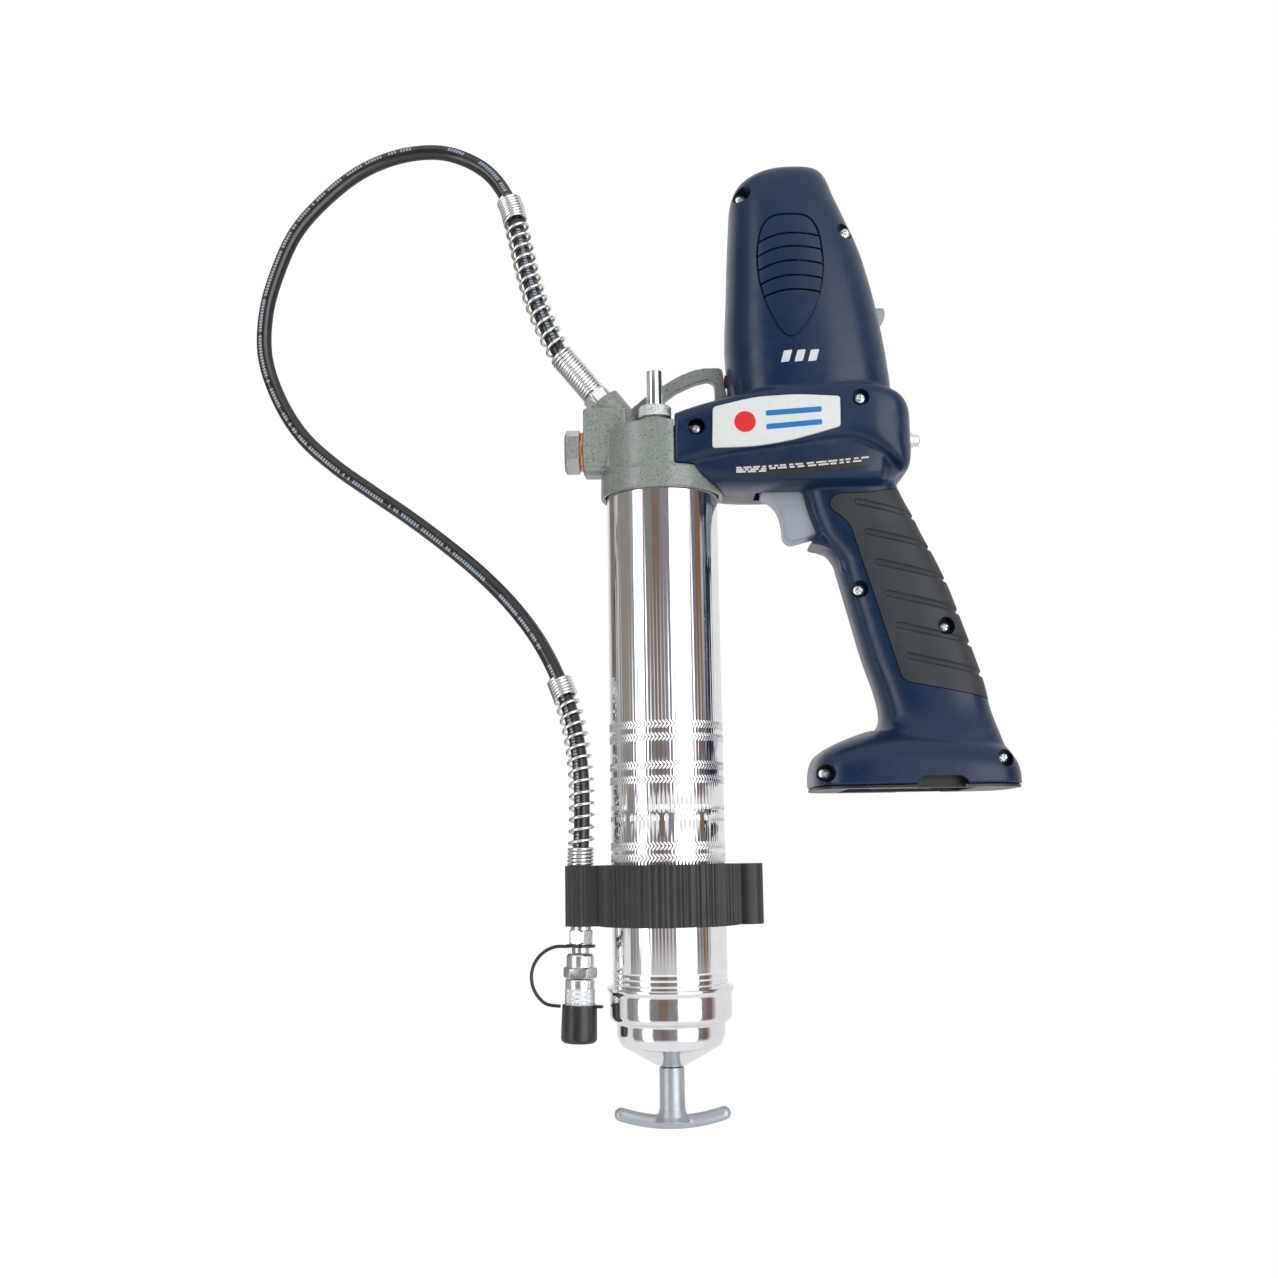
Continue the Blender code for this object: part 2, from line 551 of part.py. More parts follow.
def build_drive():
    axis = (MOTOR_X, 0, 0)
    up = (0, 1, 0)
    turned(
        "motor_can", axis, up,
        [(2.9, CAN_HIGH), (CAN_R, CAN_HIGH), (CAN_R, CAN_LOW), (2.9, CAN_LOW), (2.9, CAN_LOW + 2),
         (16.4, CAN_LOW + 2), (16.4, CAN_HIGH - 2), (2.9, CAN_HIGH - 2)],
        STEEL,
    )
    turned(
        "armature", axis, up,
        [(0, 157), (2.5, 157), (2.5, 143), (6, 143), (6, 135), (2.5, 135), (2.5, 130), (13, 130),
         (13, 101), (2.5, 101), (2.5, 88), (1.6, 88), (1.6, 75.4), (0, 75.4)],
        STEEL, steps=16,
    )
    fan = plate("cooling_fan", [circle(5, 12), circle(2.8, 12)], 149.5, 156, BLACK)
    blades = 8
    for k in range(blades):
        blade = box(f"fan_blade_{k}", (4.2, -0.6, 150.5), (14, 0.6, 155))
        blade.data.transform(Matrix.Rotation(2 * math.pi * k / blades, 4, "Z"))
        blade.location = Vector(axis) * MM
        along_y(blade)
        join(fan, blade)
    fan.location = Vector(axis) * MM
    along_y(fan)

    step = 2 * math.pi
    gear("sun_pinion", axis, SUN_TEETH, 0.0, 1.9, GEAR_LOW, GEAR_HIGH, STEEL)
    ring_phase = 0.0
    for k in range(3):
        angle = step * k / 3
        sun_place = SUN_TEETH * angle / step % 1
        phase = angle + math.pi - step * (0.5 - sun_place) / PLANET_TEETH
        centre = (MOTOR_X + CARRIER_R * math.cos(angle), 0, -CARRIER_R * math.sin(angle))
        gear(
            f"planet_gear_{k + 1}", centre, PLANET_TEETH, phase, 2.3, GEAR_LOW + 0.5, GEAR_HIGH - 0.5,
            STEEL,
        )
        if k == 0:
            ring_phase = angle - step * (0.5 + PLANET_TEETH * (angle - phase) / step) / RING_TEETH
    ring = plate(
        "ring_gear", [circle(20.6, 24), gear_outline(RING_TEETH, ring_phase, inside=True)],
        GEAR_LOW - 0.5, GEAR_HIGH + 0.5, STEEL,
    )
    ring.location = Vector(axis) * MM
    along_y(ring)
    turned(
        "gear_case", axis, up,
        [(20.9, 91), (23.8, 91), (23.8, 57), (8.2, 57), (8.2, 59.2), (11.4, 59.2), (11.4, 67.6),
         (20.9, 67.6)],
        DARK_GREY, steps=20,
    )
    turned("output_bearing", axis, up, [(5.4, 67.2), (11, 67.2), (11, 59.6), (5.4, 59.6)], STEEL, steps=16)
    carrier = turned(
        "planet_carrier", axis, up,
        [(0, 75), (15.5, 75), (15.5, 71.5), (5, 71.5), (5, 55.2), (0, 55.2)], STEEL, steps=20,
    )
    for k in range(3):
        angle = step * k / 3
        x, z = MOTOR_X + CARRIER_R * math.cos(angle), -CARRIER_R * math.sin(angle)
        join(carrier, rod(f"planet_pin_{k}", (x, 73, z), (x, 86, z), 1.9, sides=12))
    crank = rod("crank", (MOTOR_X, 47.5, 0), (MOTOR_X, 54.9, 0), 11.5, STEEL, sides=20)
    pin_x = MOTOR_X - CRANK_THROW
    join(crank, rod("crank_pin", (pin_x, 36.6, 0), (pin_x, 49, 0), 3.0, sides=12))
    yoke = box("plunger", (54, BORE_Y - 6, -13), (75, BORE_Y + 10, 13), STEEL)
    join(yoke, rod("plunger_rod", (-5, BORE_Y, 0), (56, BORE_Y, 0), PLUNGER_R, sides=20))
    cut(yoke, box("yoke_slot", (62.2, BORE_Y + 4, -10), (68.8, BORE_Y + 12, 10)))


# ---------------------------------------------------------------- pump head


def build_pump_head():
    head = rod("pump_head", (0, 0, 0), (0, COLLAR_TOP, 0), COLLAR_R, CASTING, sides=32)
    block = rod("head_block", (0, 4, 0), (0, HEAD_TOP, 0), HEAD_R, sides=32)
    cut(block, box("head_flat", (HEAD_FACE, 8, -50), (60, 60, 50)))
    side = box("head_side", (PLUG_FACE, 14.6, -14), (-20, 44.5, 14))
    boss_start = PORT - PORT_DIRECTION * 34
    boss = rod("hose_boss", boss_start, PORT, BOSS_R, sides=20)
    tongue = box("head_tongue", (0, 14.5, -19), (30, 34.5, 19))
    vent_foot = rod("vent_foot", (VENT_X, 30, VENT_Z), (VENT_X, NUT_LOW, VENT_Z), 9.0, sides=20)
    fill_foot = rod("fill_foot", (FILL_X, 30, FILL_Z), (FILL_X, NUT_LOW, FILL_Z), 5.4, sides=16)
    arch_side = [
        (-16, 32), (-15, 49.5), (-8, 55.5), (1.4, 61.7), (10, 66.8), (18, 70.0), (24, 71.0),
        (31.4, 71.0), (33.0, 69.6), (33.8, 62), (35.6, 54), (35.6, 48.6), (28.8, 48.6),
        (28.8, 60.5), (28.0, 63.2), (25.4, 64.6), (18.6, 63.0), (8.6, 58.6), (2.3, 53.8),
        (0.5, 48.0), (0.5, 32),
    ]
    arch = plate("strap_arch", [arch_side], *ARCH_Z)
    join(head, block, side, boss, tongue, vent_foot, fill_foot, arch)
    screw_x, screw_y, screw_seat = HEAD_SCREW
    cut(
        head,
        rod("tube_socket", (0, -5, 0), (0, SOCKET_TOP, 0), TUBE_R + GAP, sides=32),
        rod("plunger_bore", (-24, BORE_Y, 0), (40, BORE_Y, 0), PLUNGER_R + GAP, sides=20),
        rod("check_seat", (-28, BORE_Y, 0), (-20, BORE_Y, 0), 2.6, sides=12),
        rod("check_chamber", (-60, BORE_Y, 0), (-27, BORE_Y, 0), 6.3, sides=16),
        rod("inlet", (-10, 5, 0), (-10, BORE_Y, 0), 3.0, sides=12),
        rod("outlet", (-31, BORE_Y, 0), (-31, 49, 0), 2.0, sides=10),
        rod("port_bore", PORT - PORT_DIRECTION * 11, PORT + PORT_DIRECTION * 5, 5.0, sides=16),
        rod("vent_bore", (VENT_X, 33.5, VENT_Z), (VENT_X, 60, VENT_Z), VENT_R + GAP, sides=16),
        rod("nut_seat", (VENT_X, NUT_LOW, VENT_Z), (VENT_X, 60, VENT_Z), NUT_R + GAP, sides=20),
        rod("fill_bore", (FILL_X, 12, FILL_Z), (FILL_X, 60, FILL_Z), 2.5, sides=12),
        rod("fill_drill", (FILL_X, 5, FILL_Z), (FILL_X, 20, FILL_Z), 1.5, sides=10),
        rod(
            "screw_tap", (screw_x, screw_y, screw_seat - 14), (screw_x, screw_y, 30), SCREW_R + GAP,
            sides=6,
        ),
    )

    turned(
        "outlet_plug", (0, BORE_Y, 0), (-1, 0, 0),
        [(0, 50.2), (9.6, 50.2), (11.0, 48.9), (11.9, 48.6), (11.9, 42.6), (11.0, 42.3), (5.9, 42.3),
         (5.9, 39.2), (0, 39.2)],
        ZINC, steps=6,
    )
    turned(
        "copper_washer", (0, BORE_Y, 0), (-1, 0, 0),
        [(10.2, 42.0), (10.2, 40.6), (6.4, 40.6), (6.4, 42.0)], COPPER, steps=20,
    )
    turned(
        "check_ball", (-31.4, BORE_Y, 0), (-1, 0, 0),
        [(0, 4), (2.83, 2.83), (4, 0), (2.83, -2.83), (0, -4)], STEEL, steps=12,
    )
    coil("check_spring", (-38.4, BORE_Y, 0), (1, 0, 0), 3.0, 2.3, 2.5, 0.4, STEEL, turn_points=8)
    turned(
        "vent_stem", (VENT_X, 0, VENT_Z), (0, 1, 0),
        [(0, 68.4), (3.6, 68.4), (VENT_R, 67.8), (VENT_R, 37), (0, 37)], CHROME, steps=16,
    )
    turned(
        "vent_nut", (VENT_X, 0, VENT_Z), (0, 1, 0),
        [(VENT_R + GAP, 49.6), (7.9, 49.6), (NUT_R, 48.9), (NUT_R, NUT_LOW + GAP),
         (VENT_R + GAP, NUT_LOW + GAP)],
        ZINC, steps=20,
    )
    turned(
        "bulk_fill_fitting", (FILL_X, 0, FILL_Z), (0, 1, 0),
        [(0, 52.5), (3.6, 52.5), (5.4, 50.9), (5.4, NUT_LOW + GAP), (2.1, NUT_LOW + GAP),
         (2.1, 30), (0, 30)],
        ZINC, steps=16,
    )
    turned(
        "tube_gasket", (0, 0, 0), (0, 1, 0),
        [(24.5, SOCKET_TOP - GAP), (TUBE_R, SOCKET_TOP - GAP), (TUBE_R, TUBE_TOP + GAP),
         (24.5, TUBE_TOP + GAP)],
        RUBBER, steps=20,
    )
    box("arch_bumper", (34.1, 61.2, -6), (35.0, 66.8, -1), RED)


def coil(name, start, direction, length, radius, turns, wire, finish, turn_points=10):
    """A spring of round wire along a straight line."""
    axis = Vector(direction).normalized()
    side = axis.orthogonal().normalized()
    other = axis.cross(side)
    count = round(turns * turn_points)
    points = []
    for k in range(count + 1):
        angle = 2 * math.pi * k / turn_points
        ring = side * math.cos(angle) + other * math.sin(angle)
        points.append(Vector(start) + axis * (length * k / count) + ring * radius)
    return tube_along(name, points, wire, finish, sides_level=1)


# ---------------------------------------------------------------- grease tube and follower


def build_tube():
    up = (0, 1, 0)
    inner = TUBE_R - TUBE_WALL
    turned(
        "grease_tube", (0, 0, 0), up,
        [(inner, TUBE_TOP), (TUBE_R, TUBE_TOP), (TUBE_R, TUBE_END), (inner, TUBE_END)], CHROME, steps=32,
    )
    turned(
        "tube_end_cap", (0, 0, 0), up,
        [(TUBE_R + GAP, -247.4), (31.6, -247.4), (31.4, -248.6), (30.3, -250.8), (30.3, -261.2),
         (29.2, -263.6), (26.8, -264.8), (26.7, -271.4), (24.8, -275.6), (6.8, -285.8),
         (5.2, -285.8), (5.2, -283.6), (23.4, -273.6), (25.0, -270.6), (25.0, -263.6),
         (TUBE_R + GAP, -262.4)],
        CHROME, steps=28,
    )
    turned(
        "rod_bushing", (0, 0, 0), up,
        [(ROD_R + GAP, -277.5), (4.9, -277.5), (4.9, -285.6), (ROD_R + GAP, -285.6)], BRASS, steps=16,
    )
    rod("follower_rod", (0, CUP_TOP + 1.6, 0), (0, ROD_END, 0), ROD_R, STEEL, sides=16)
    turned(
        "follower_cup", (0, 0, 0), up,
        [(ROD_R + GAP, CUP_TOP - 2), (20, CUP_TOP - 2), (26.0, CUP_TOP), (27.0, CUP_TOP), (27.0, CUP_END),
         (25.6, CUP_END), (24.8, CUP_END + 3), (ROD_R + GAP, CUP_END + 3)],
        RUBBER, steps=20,
    )
    coil("follower_spring", (0, CUP_END - 1.6, 0), (0, -1, 0), 244, 23.0, 6, 1.1, STEEL, turn_points=8)

    stem = turned(
        "follower_handle", (0, 0, 0), up,
        [(ROD_R + GAP, HANDLE_TOP), (6.2, HANDLE_TOP), (6.4, -311), (0, -311),
         (0, ROD_END - 0.4), (ROD_R + GAP, ROD_END - 0.4)],
        DIE_CAST, steps=16,
    )
    bar_points = []
    for k in range(9):
        u = k / 4 - 1
        bar_points.append((BAR_HALF * u, HANDLE_BAR + BAR_BOW * u * u, 0))
    bar = tube_along("handle_bar", bar_points, BAR_R, None, sides_level=1)
    ends = [rod_end(f"handle_end_{k}", bar_points[k], BAR_R) for k in (0, -1)]
    join(stem, bar, *ends)
    for modifier in stem.modifiers:
        if modifier.type == "BOOLEAN":
            modifier.solver = "MANIFOLD"


def rod_end(name, place, radius):
    """A ball that rounds a bar's end."""
    bm = bmesh.new()
    bmesh.ops.create_uvsphere(bm, u_segments=8, v_segments=6, radius=radius * MM)
    ball = mesh_object(name, bm, None)
    ball.location = Vector(place) * MM
    return ball


# ---------------------------------------------------------------- hose clip, hose and coupler


def build_clip():
    """A rubber ring on the tube with a snap-in pocket on each side, open outwards."""
    ring = rod("hose_clip", (0, CLIP_LOW, 0), (0, CLIP_HIGH, 0), CLIP_R, BLACK, sides=36)
    outer = POCKET_R + POCKET_WALL
    for side, x in (("line", LINE_X), ("spare", SPARE_X)):
        join(ring, rod(f"pocket_{side}", (x, CLIP_LOW, 0), (x, CLIP_HIGH, 0), outer, sides=20))
        web = sorted((math.copysign(32, x), x - math.copysign(3, x)))
        join(ring, box(f"web_{side}", (web[0], CLIP_LOW, -7), (web[1], CLIP_HIGH, 7)))
    cut(ring, rod("clip_bore", (0, CLIP_LOW - 5, 0), (0, CLIP_HIGH + 5, 0), TUBE_R + GAP, sides=36))
    for side, x in (("line", LINE_X), ("spare", SPARE_X)):
        low, high = (x, CLIP_LOW - 5, 0), (x, CLIP_HIGH + 5, 0)
        cut(ring, rod(f"pocket_bore_{side}", low, high, POCKET_R, sides=20))
        reach = sorted((x, x + math.copysign(12, x)))
        mouth = box(f"pocket_mouth_{side}", (reach[0], CLIP_LOW - 5, -2.6), (reach[1], CLIP_HIGH + 5, 2.6))
        cut(ring, mouth)


def smooth_route(route, step):
    """Points about a step apart on a Catmull-Rom curve through the route, and its length."""
    points = [Vector(p) for p in route]
    padded = [points[0] * 2 - points[1], *points, points[-1] * 2 - points[-2]]
    fine = []
    for a, b, c, d in zip(padded, padded[1:], padded[2:], padded[3:]):
        for k in range(16):
            t = k / 16
            fine.append(
                0.5 * (2 * b + (c - a) * t + (2 * a - 5 * b + 4 * c - d) * t ** 2
                       + (3 * b - a - 3 * c + d) * t ** 3)
            )
    fine.append(points[-1])
    travelled = [0.0]
    for a, b in zip(fine, fine[1:]):
        travelled.append(travelled[-1] + (b - a).length)
    count = round(travelled[-1] / step)
    found, k = [], 0
    for n in range(count + 1):
        target = travelled[-1] * n / count
        while k < len(fine) - 2 and travelled[k + 1] < target:
            k += 1
        share = (target - travelled[k]) / (travelled[k + 1] - travelled[k])
        found.append(fine[k].lerp(fine[k + 1], min(share, 1.0)))
    return found, travelled[-1]


def sleeve(name, points, finish):
    """A hollow sleeve round the hose, which stands for a wire spring."""
    outside = tube_along(name, points, GUARD_R, finish)
    first, last = points[0] * 2 - points[1], points[-1] * 2 - points[-2]
    inside = tube_along(name + "_bore", [first, *points, last], GUARD_R - GUARD_WIRE, None)
    return cut(outside, inside)


def build_hose():
    route, length = smooth_route(HOSE_ROUTE, HOSE_STEP)
    tube_along("hose", route, HOSE_R, RUBBER)

    fine, _ = smooth_route(HOSE_ROUTE, 10.0)
    spacing = length / (len(fine) - 1)
    start = PORT + PORT_DIRECTION * 6.2
    head_count = round(HEAD_GUARD_LENGTH / spacing)
    sleeve("guard_spring_head", [start, start.lerp(fine[0], 0.5), *fine[:head_count]], ZINC)
    end_count = round(COUPLER_GUARD_LENGTH / spacing)
    finish = Vector((LINE_X, -216.5, 0))
    sleeve("guard_spring_coupler", [*fine[-end_count:], fine[-1].lerp(finish, 0.5), finish], ZINC)

    fitting_end = (route[0] - PORT).dot(PORT_DIRECTION) - GAP
    turned(
        "hose_fitting_head", PORT, PORT_DIRECTION,
        [(0, fitting_end), (4.3, fitting_end), (4.3, 5.8), (6.2, 5.8), (7.0, 5.2), (7.0, GAP), (4.7, GAP),
         (4.7, -9.0), (0, -9.0)],
        ZINC, steps=12,
    )
    line = bpy.data.objects.new("coupler_line", None)
    line.location = LINE_START * MM
    line.rotation_euler = (0, 0, LINE_TILT)
    line.parent = gun
    parts.objects.link(line)
    up = (0, 1, 0)
    hose_end = route[-1].y - LINE_START.y - GAP
    turned(
        "hose_fitting_coupler", (0, 0, 0), up,
        [(0, hose_end), (4.2, hose_end), (4.2, 2.6), (5.0, 2.6), (5.0, 0), (6.1, 0), (6.1, -6.4),
         (4.4, -6.4), (4.4, -11.0), (0, -11.0)],
        ZINC, steps=12, parent=line,
    )
    turned(
        "coupler_body", (0, 0, 0), up,
        [(0, -11.3), (6.2, -11.3), (6.9, -12.2), (6.9, -17.8), (8.2, -18.2), (8.2, -23.0),
         (7.2, -23.3), (3.5, -23.3), (3.5, -46), (0, -46)],
        ZINC, steps=12, parent=line,
    )
    turned(
        "coupler_sleeve", (0, 0, 0), up,
        [(3.9, -23.7), (7.35, -23.7), (7.35, -46), (5.4, -50), (3.9, -50)], ZINC, steps=20, parent=line,
    )
    turned(
        "coupler_cap", (0, 0, 0), up,
        [(7.7, -36.2), (10.6, -36.2), (10.6, -37.6), (8.6, -37.8), (8.9, -53.6), (8.0, -54.6),
         (0, -54.6), (0, -52.4), (7.7, -52.4)],
        BLACK, steps=20, parent=line,
    )
    loop = [(x, y, 0) for x, y in arc(LOOP_CENTRE, LOOP_R, 62, 262, 12)]
    strap = [(-6.0, -7.7, 0), *loop[1:-1], (-12.0, -36.9, 0)]
    tether = tube_along("cap_tether", strap, 1.0, BLACK, sides_level=1, parent=line)
    ring = turned(
        "tether_ring", (0, 0, 0), up, [(4.7, -6.8), (7.2, -6.8), (7.2, -8.4), (4.7, -8.4)],
        steps=16, parent=line,
    )
    join(tether, ring)


build_housing()
build_screws()
build_badges()
build_controls()
build_battery_base()
build_drive()
build_pump_head()
build_tube()
build_clip()
build_hose()
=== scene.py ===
"""Looks of the cordless grease gun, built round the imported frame.

Pieces are drawn in the gun's own millimetres: x = 0 is the grease tube's axis, y = 0 the bottom of the
pump head's collar, +y points towards the motor, and z = 0 is the plane that the housing halves meet at.
show() scales each finished piece to metres and puts it in the frame.
"""

import math
import random

import bmesh
import bpy
import numpy as np
from mathutils import Matrix, Vector
from mathutils.bvhtree import BVHTree


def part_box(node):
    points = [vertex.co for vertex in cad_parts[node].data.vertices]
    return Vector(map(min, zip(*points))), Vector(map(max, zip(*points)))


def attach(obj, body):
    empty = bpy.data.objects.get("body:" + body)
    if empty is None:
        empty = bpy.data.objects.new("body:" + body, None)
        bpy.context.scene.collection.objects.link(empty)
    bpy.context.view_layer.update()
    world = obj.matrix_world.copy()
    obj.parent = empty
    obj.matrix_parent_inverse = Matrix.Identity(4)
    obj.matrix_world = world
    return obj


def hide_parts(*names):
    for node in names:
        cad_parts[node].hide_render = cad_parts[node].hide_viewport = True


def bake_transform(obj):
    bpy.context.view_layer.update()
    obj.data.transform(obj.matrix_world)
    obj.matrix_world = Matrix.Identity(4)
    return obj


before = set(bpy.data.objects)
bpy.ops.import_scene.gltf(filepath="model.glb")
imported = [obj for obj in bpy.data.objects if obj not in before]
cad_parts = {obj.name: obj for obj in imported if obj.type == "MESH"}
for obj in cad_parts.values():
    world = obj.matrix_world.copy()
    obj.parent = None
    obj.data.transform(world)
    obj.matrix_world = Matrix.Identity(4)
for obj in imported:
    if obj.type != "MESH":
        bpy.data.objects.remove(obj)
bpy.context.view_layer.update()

MM = 0.001
tube_low, tube_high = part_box("grease_tube")
AXIS = Vector((
    (tube_low[0] + tube_high[0]) / 2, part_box("pump_head")[0][1], (tube_low[2] + tube_high[2]) / 2
))
TO_WORLD = Matrix.Translation(AXIS) @ Matrix.Scale(MM, 4)
FINE = 0.62
random.seed(7)


# ---------------------------------------------------------------- curves and outlines


def smooth_line(points, steps, closed=False):
    """Points on a Catmull-Rom curve through the given points."""
    points = [Vector(p) for p in points]
    if closed:
        padded = [points[-1], *points, points[0], points[1]]
    else:
        padded = [points[0] * 2 - points[1], *points, points[-1] * 2 - points[-2]]
    found = []
    for a, b, c, d in zip(padded, padded[1:], padded[2:], padded[3:]):
        for k in range(steps):
            t = k / steps
            found.append(
                0.5 * (2 * b + (c - a) * t + (2 * a - 5 * b + 4 * c - d) * t ** 2
                       + (3 * b - a - 3 * c + d) * t ** 3)
            )
    if not closed:
        found.append(points[-1])
    return found


def fillet(points, radius, steps=4, closed=True):
    """Rounds a polyline's corners."""
    points = [Vector(p) for p in points]
    count = len(points)
    found = []
    for k, here in enumerate(points):
        if not closed and k in (0, count - 1):
            found.append(here)
            continue
        before, after = points[k - 1] - here, points[(k + 1) % count] - here
        reach = min(radius, before.length * 0.45, after.length * 0.45)
        a, b = here + before.normalized() * reach, here + after.normalized() * reach
        for n in range(steps + 1):
            t = n / steps
            found.append(a * (1 - t) ** 2 + here * (2 * t * (1 - t)) + b * t ** 2)
    return found


def grown(outline, amount):
    """A clockwise outline with each of its sides moved out by amount."""
    points = [Vector(p) for p in outline]
    found = []
    for before, here, after in zip(points[-1:] + points, points, points[1:] + points[:1]):
        first, second = (here - before).normalized(), (after - here).normalized()
        out = Vector((-first.y, first.x)) + Vector((-second.y, second.x))
        found.append(here + out * (amount * 2 / out.length_squared))
    return found


def arc(centre, radius, start, end, steps):
    """Points on a circle's arc, with angles in degrees."""
    angles = [math.radians(start + (end - start) * k / steps) for k in range(steps + 1)]
    return [(centre[0] + radius * math.cos(a), centre[1] + radius * math.sin(a)) for a in angles]


# ---------------------------------------------------------------- solids


def new_object(name, verts, faces):
    mesh = bpy.data.meshes.new(name)
    mesh.from_pydata([tuple(v) for v in verts], [], faces)
    return linked(name, mesh)


def linked(name, mesh):
    obj = bpy.data.objects.new(name, mesh)
    bpy.context.scene.collection.objects.link(obj)
    return obj


def from_bmesh(name, bm):
    mesh = bpy.data.meshes.new(name)
    bm.to_mesh(mesh)
    bm.free()
    return linked(name, mesh)


def applied(obj):
    """Replaces an object's mesh by what its modifiers make of it."""
    depsgraph = bpy.context.evaluated_depsgraph_get()
    mesh = bpy.data.meshes.new_from_object(obj.evaluated_get(depsgraph))
    obj.modifiers.clear()
    obj.data = mesh
    return obj


def boolean(target, operation, others):
    for other in others:
        modifier = target.modifiers.new(operation, "BOOLEAN")
        modifier.operation = operation
        modifier.solver = "MANIFOLD"
        modifier.object = other
        applied(target)
        bpy.data.objects.remove(other)
    return target


def cut(target, *others):
    return boolean(target, "DIFFERENCE", others)


def join(target, *others):
    return boolean(target, "UNION", others)


def keep(target, *others):
    return boolean(target, "INTERSECT", others)


def copied(obj, offset=0.0):
    """A copy whose skin is moved out along its normals."""
    twin = linked(obj.name + "_copy", obj.data.copy())
    if offset:
        mesh = twin.data
        count = len(mesh.vertices)
        places, normals = np.empty(count * 3), np.empty(count * 3)
        mesh.vertices.foreach_get("co", places)
        mesh.vertices.foreach_get("normal", normals)
        mesh.vertices.foreach_set("co", places + normals * offset)
        mesh.update()
    return twin


def prism(name, outline, low, high, bevel=0.0, segments=3, along="z"):
    """An outline extruded along z, or an outline in x and z extruded along y, with rounded rims."""
    bm = bmesh.new()
    rings = []
    for height in (low, high):
        places = [(p[0], p[1], height) if along == "z" else (p[0], height, p[1]) for p in outline]
        rings.append([bm.verts.new(p) for p in places])
    count = len(outline)
    for k in range(count):
        n = (k + 1) % count
        bm.faces.new((rings[0][k], rings[0][n], rings[1][n], rings[1][k]))
    bm.faces.new(rings[0])
    bm.faces.new(rings[1])
    bmesh.ops.recalc_face_normals(bm, faces=bm.faces)
    if bevel:
        rims = [e for ring in rings for v in ring for e in v.link_edges if e.other_vert(v) in ring]
        bmesh.ops.bevel(
            bm, geom=list(set(rims)), offset=bevel, segments=segments, profile=0.5, affect="EDGES"
        )
    return from_bmesh(name, bm)


def box(name, low, high, bevel=0.0):
    corners = [(low[0], low[1]), (high[0], low[1]), (high[0], high[1]), (low[0], high[1])]
    if bevel:
        corners = fillet(corners, bevel * 1.4)
    return prism(name, corners, low[2], high[2], bevel)


def turned(name, origin, direction, profile, steps=96, relief=None):
    """A profile of (radius, height) turned about a line through origin.

    One that starts and ends at radius 0 is a solid, any other is closed into a ring. relief gives how
    far the skin stands out at arrays of angles and heights.
    """
    rings = [p for p in profile if p[0] > 0]
    radii, heights = np.array([p[0] for p in rings]), np.array([p[1] for p in rings])
    angles = np.arange(steps) * 2 * math.pi / steps
    spread = radii[:, None] + np.zeros(steps)
    if relief:
        spread = spread + relief(angles[None, :], heights[:, None], radii[:, None])
    verts = np.stack(
        [spread * np.cos(angles), spread * np.sin(angles), heights[:, None] + np.zeros(steps)], axis=-1
    ).reshape(-1, 3)
    faces = []
    for row in range(len(rings) - 1):
        faces += bridge(row * steps, (row + 1) * steps, steps)
    verts = verts.tolist()
    last = (len(rings) - 1) * steps
    if profile[0][0] > 0:
        faces += bridge(last, 0, steps)
    else:
        verts += [(0, 0, profile[0][1]), (0, 0, profile[-1][1])]
        faces += [(len(verts) - 2, k, (k + 1) % steps) for k in range(steps)]
        faces += [(len(verts) - 1, last + (k + 1) % steps, last + k) for k in range(steps)]
    obj = new_object(name, verts, faces)
    turn = Vector(direction).to_track_quat("Z", "Y").to_matrix().to_4x4()
    obj.data.transform(Matrix.Translation(Vector(origin)) @ turn)
    outward(obj)
    if relief:
        frost = obj.data.attributes.new("frost", "FLOAT", "POINT")
        worked = np.abs(spread - radii[:, None]) / 0.12
        frost.data.foreach_set("value", np.clip(np.resize(worked, len(verts)), 0, 1).astype(np.float32))
    return obj


def bridge(first, second, steps):
    """Quads between two rings of vertices."""
    return [
        (first + k, first + (k + 1) % steps, second + (k + 1) % steps, second + k) for k in range(steps)
    ]


def outward(obj):
    """Turns a closed mesh's faces to point out."""
    bm = bmesh.new()
    bm.from_mesh(obj.data)
    bmesh.ops.recalc_face_normals(bm, faces=bm.faces)
    bm.to_mesh(obj.data)
    bm.free()
    return obj


def rod(name, start, end, radius, sides=40):
    length = (Vector(end) - Vector(start)).length
    profile = [(0, length), (radius, length), (radius, 0), (0, 0)]
    return turned(name, start, Vector(end) - Vector(start), profile, sides)


class Path:
    """A smooth line with a frame that is carried along it without twist."""

    def __init__(self, points):
        self.points = [Vector(p) for p in points]
        self.travelled = [0.0]
        for a, b in zip(self.points, self.points[1:]):
            self.travelled.append(self.travelled[-1] + (b - a).length)
        self.length = self.travelled[-1]
        ends = [self.points[0] * 2 - self.points[1], *self.points, self.points[-1] * 2 - self.points[-2]]
        self.tangents = [(c - a).normalized() for a, c in zip(ends, ends[2:])]
        side = Vector((0, 0, 1))
        self.sides = []
        for tangent in self.tangents:
            side = (side - tangent * side.dot(tangent)).normalized()
            self.sides.append(side)

    def at(self, distance):
        """The place, the direction and the two side directions at a distance along the line."""
        k = int(np.searchsorted(self.travelled, distance)) - 1
        k = max(0, min(k, len(self.points) - 2))
        t = (distance - self.travelled[k]) / (self.travelled[k + 1] - self.travelled[k])
        place = self.points[k].lerp(self.points[k + 1], t)
        tangent = self.tangents[k].lerp(self.tangents[k + 1], t).normalized()
        side = self.sides[k].lerp(self.sides[k + 1], t)
        side = (side - tangent * side.dot(tangent)).normalized()
        return place, tangent, side, tangent.cross(side)


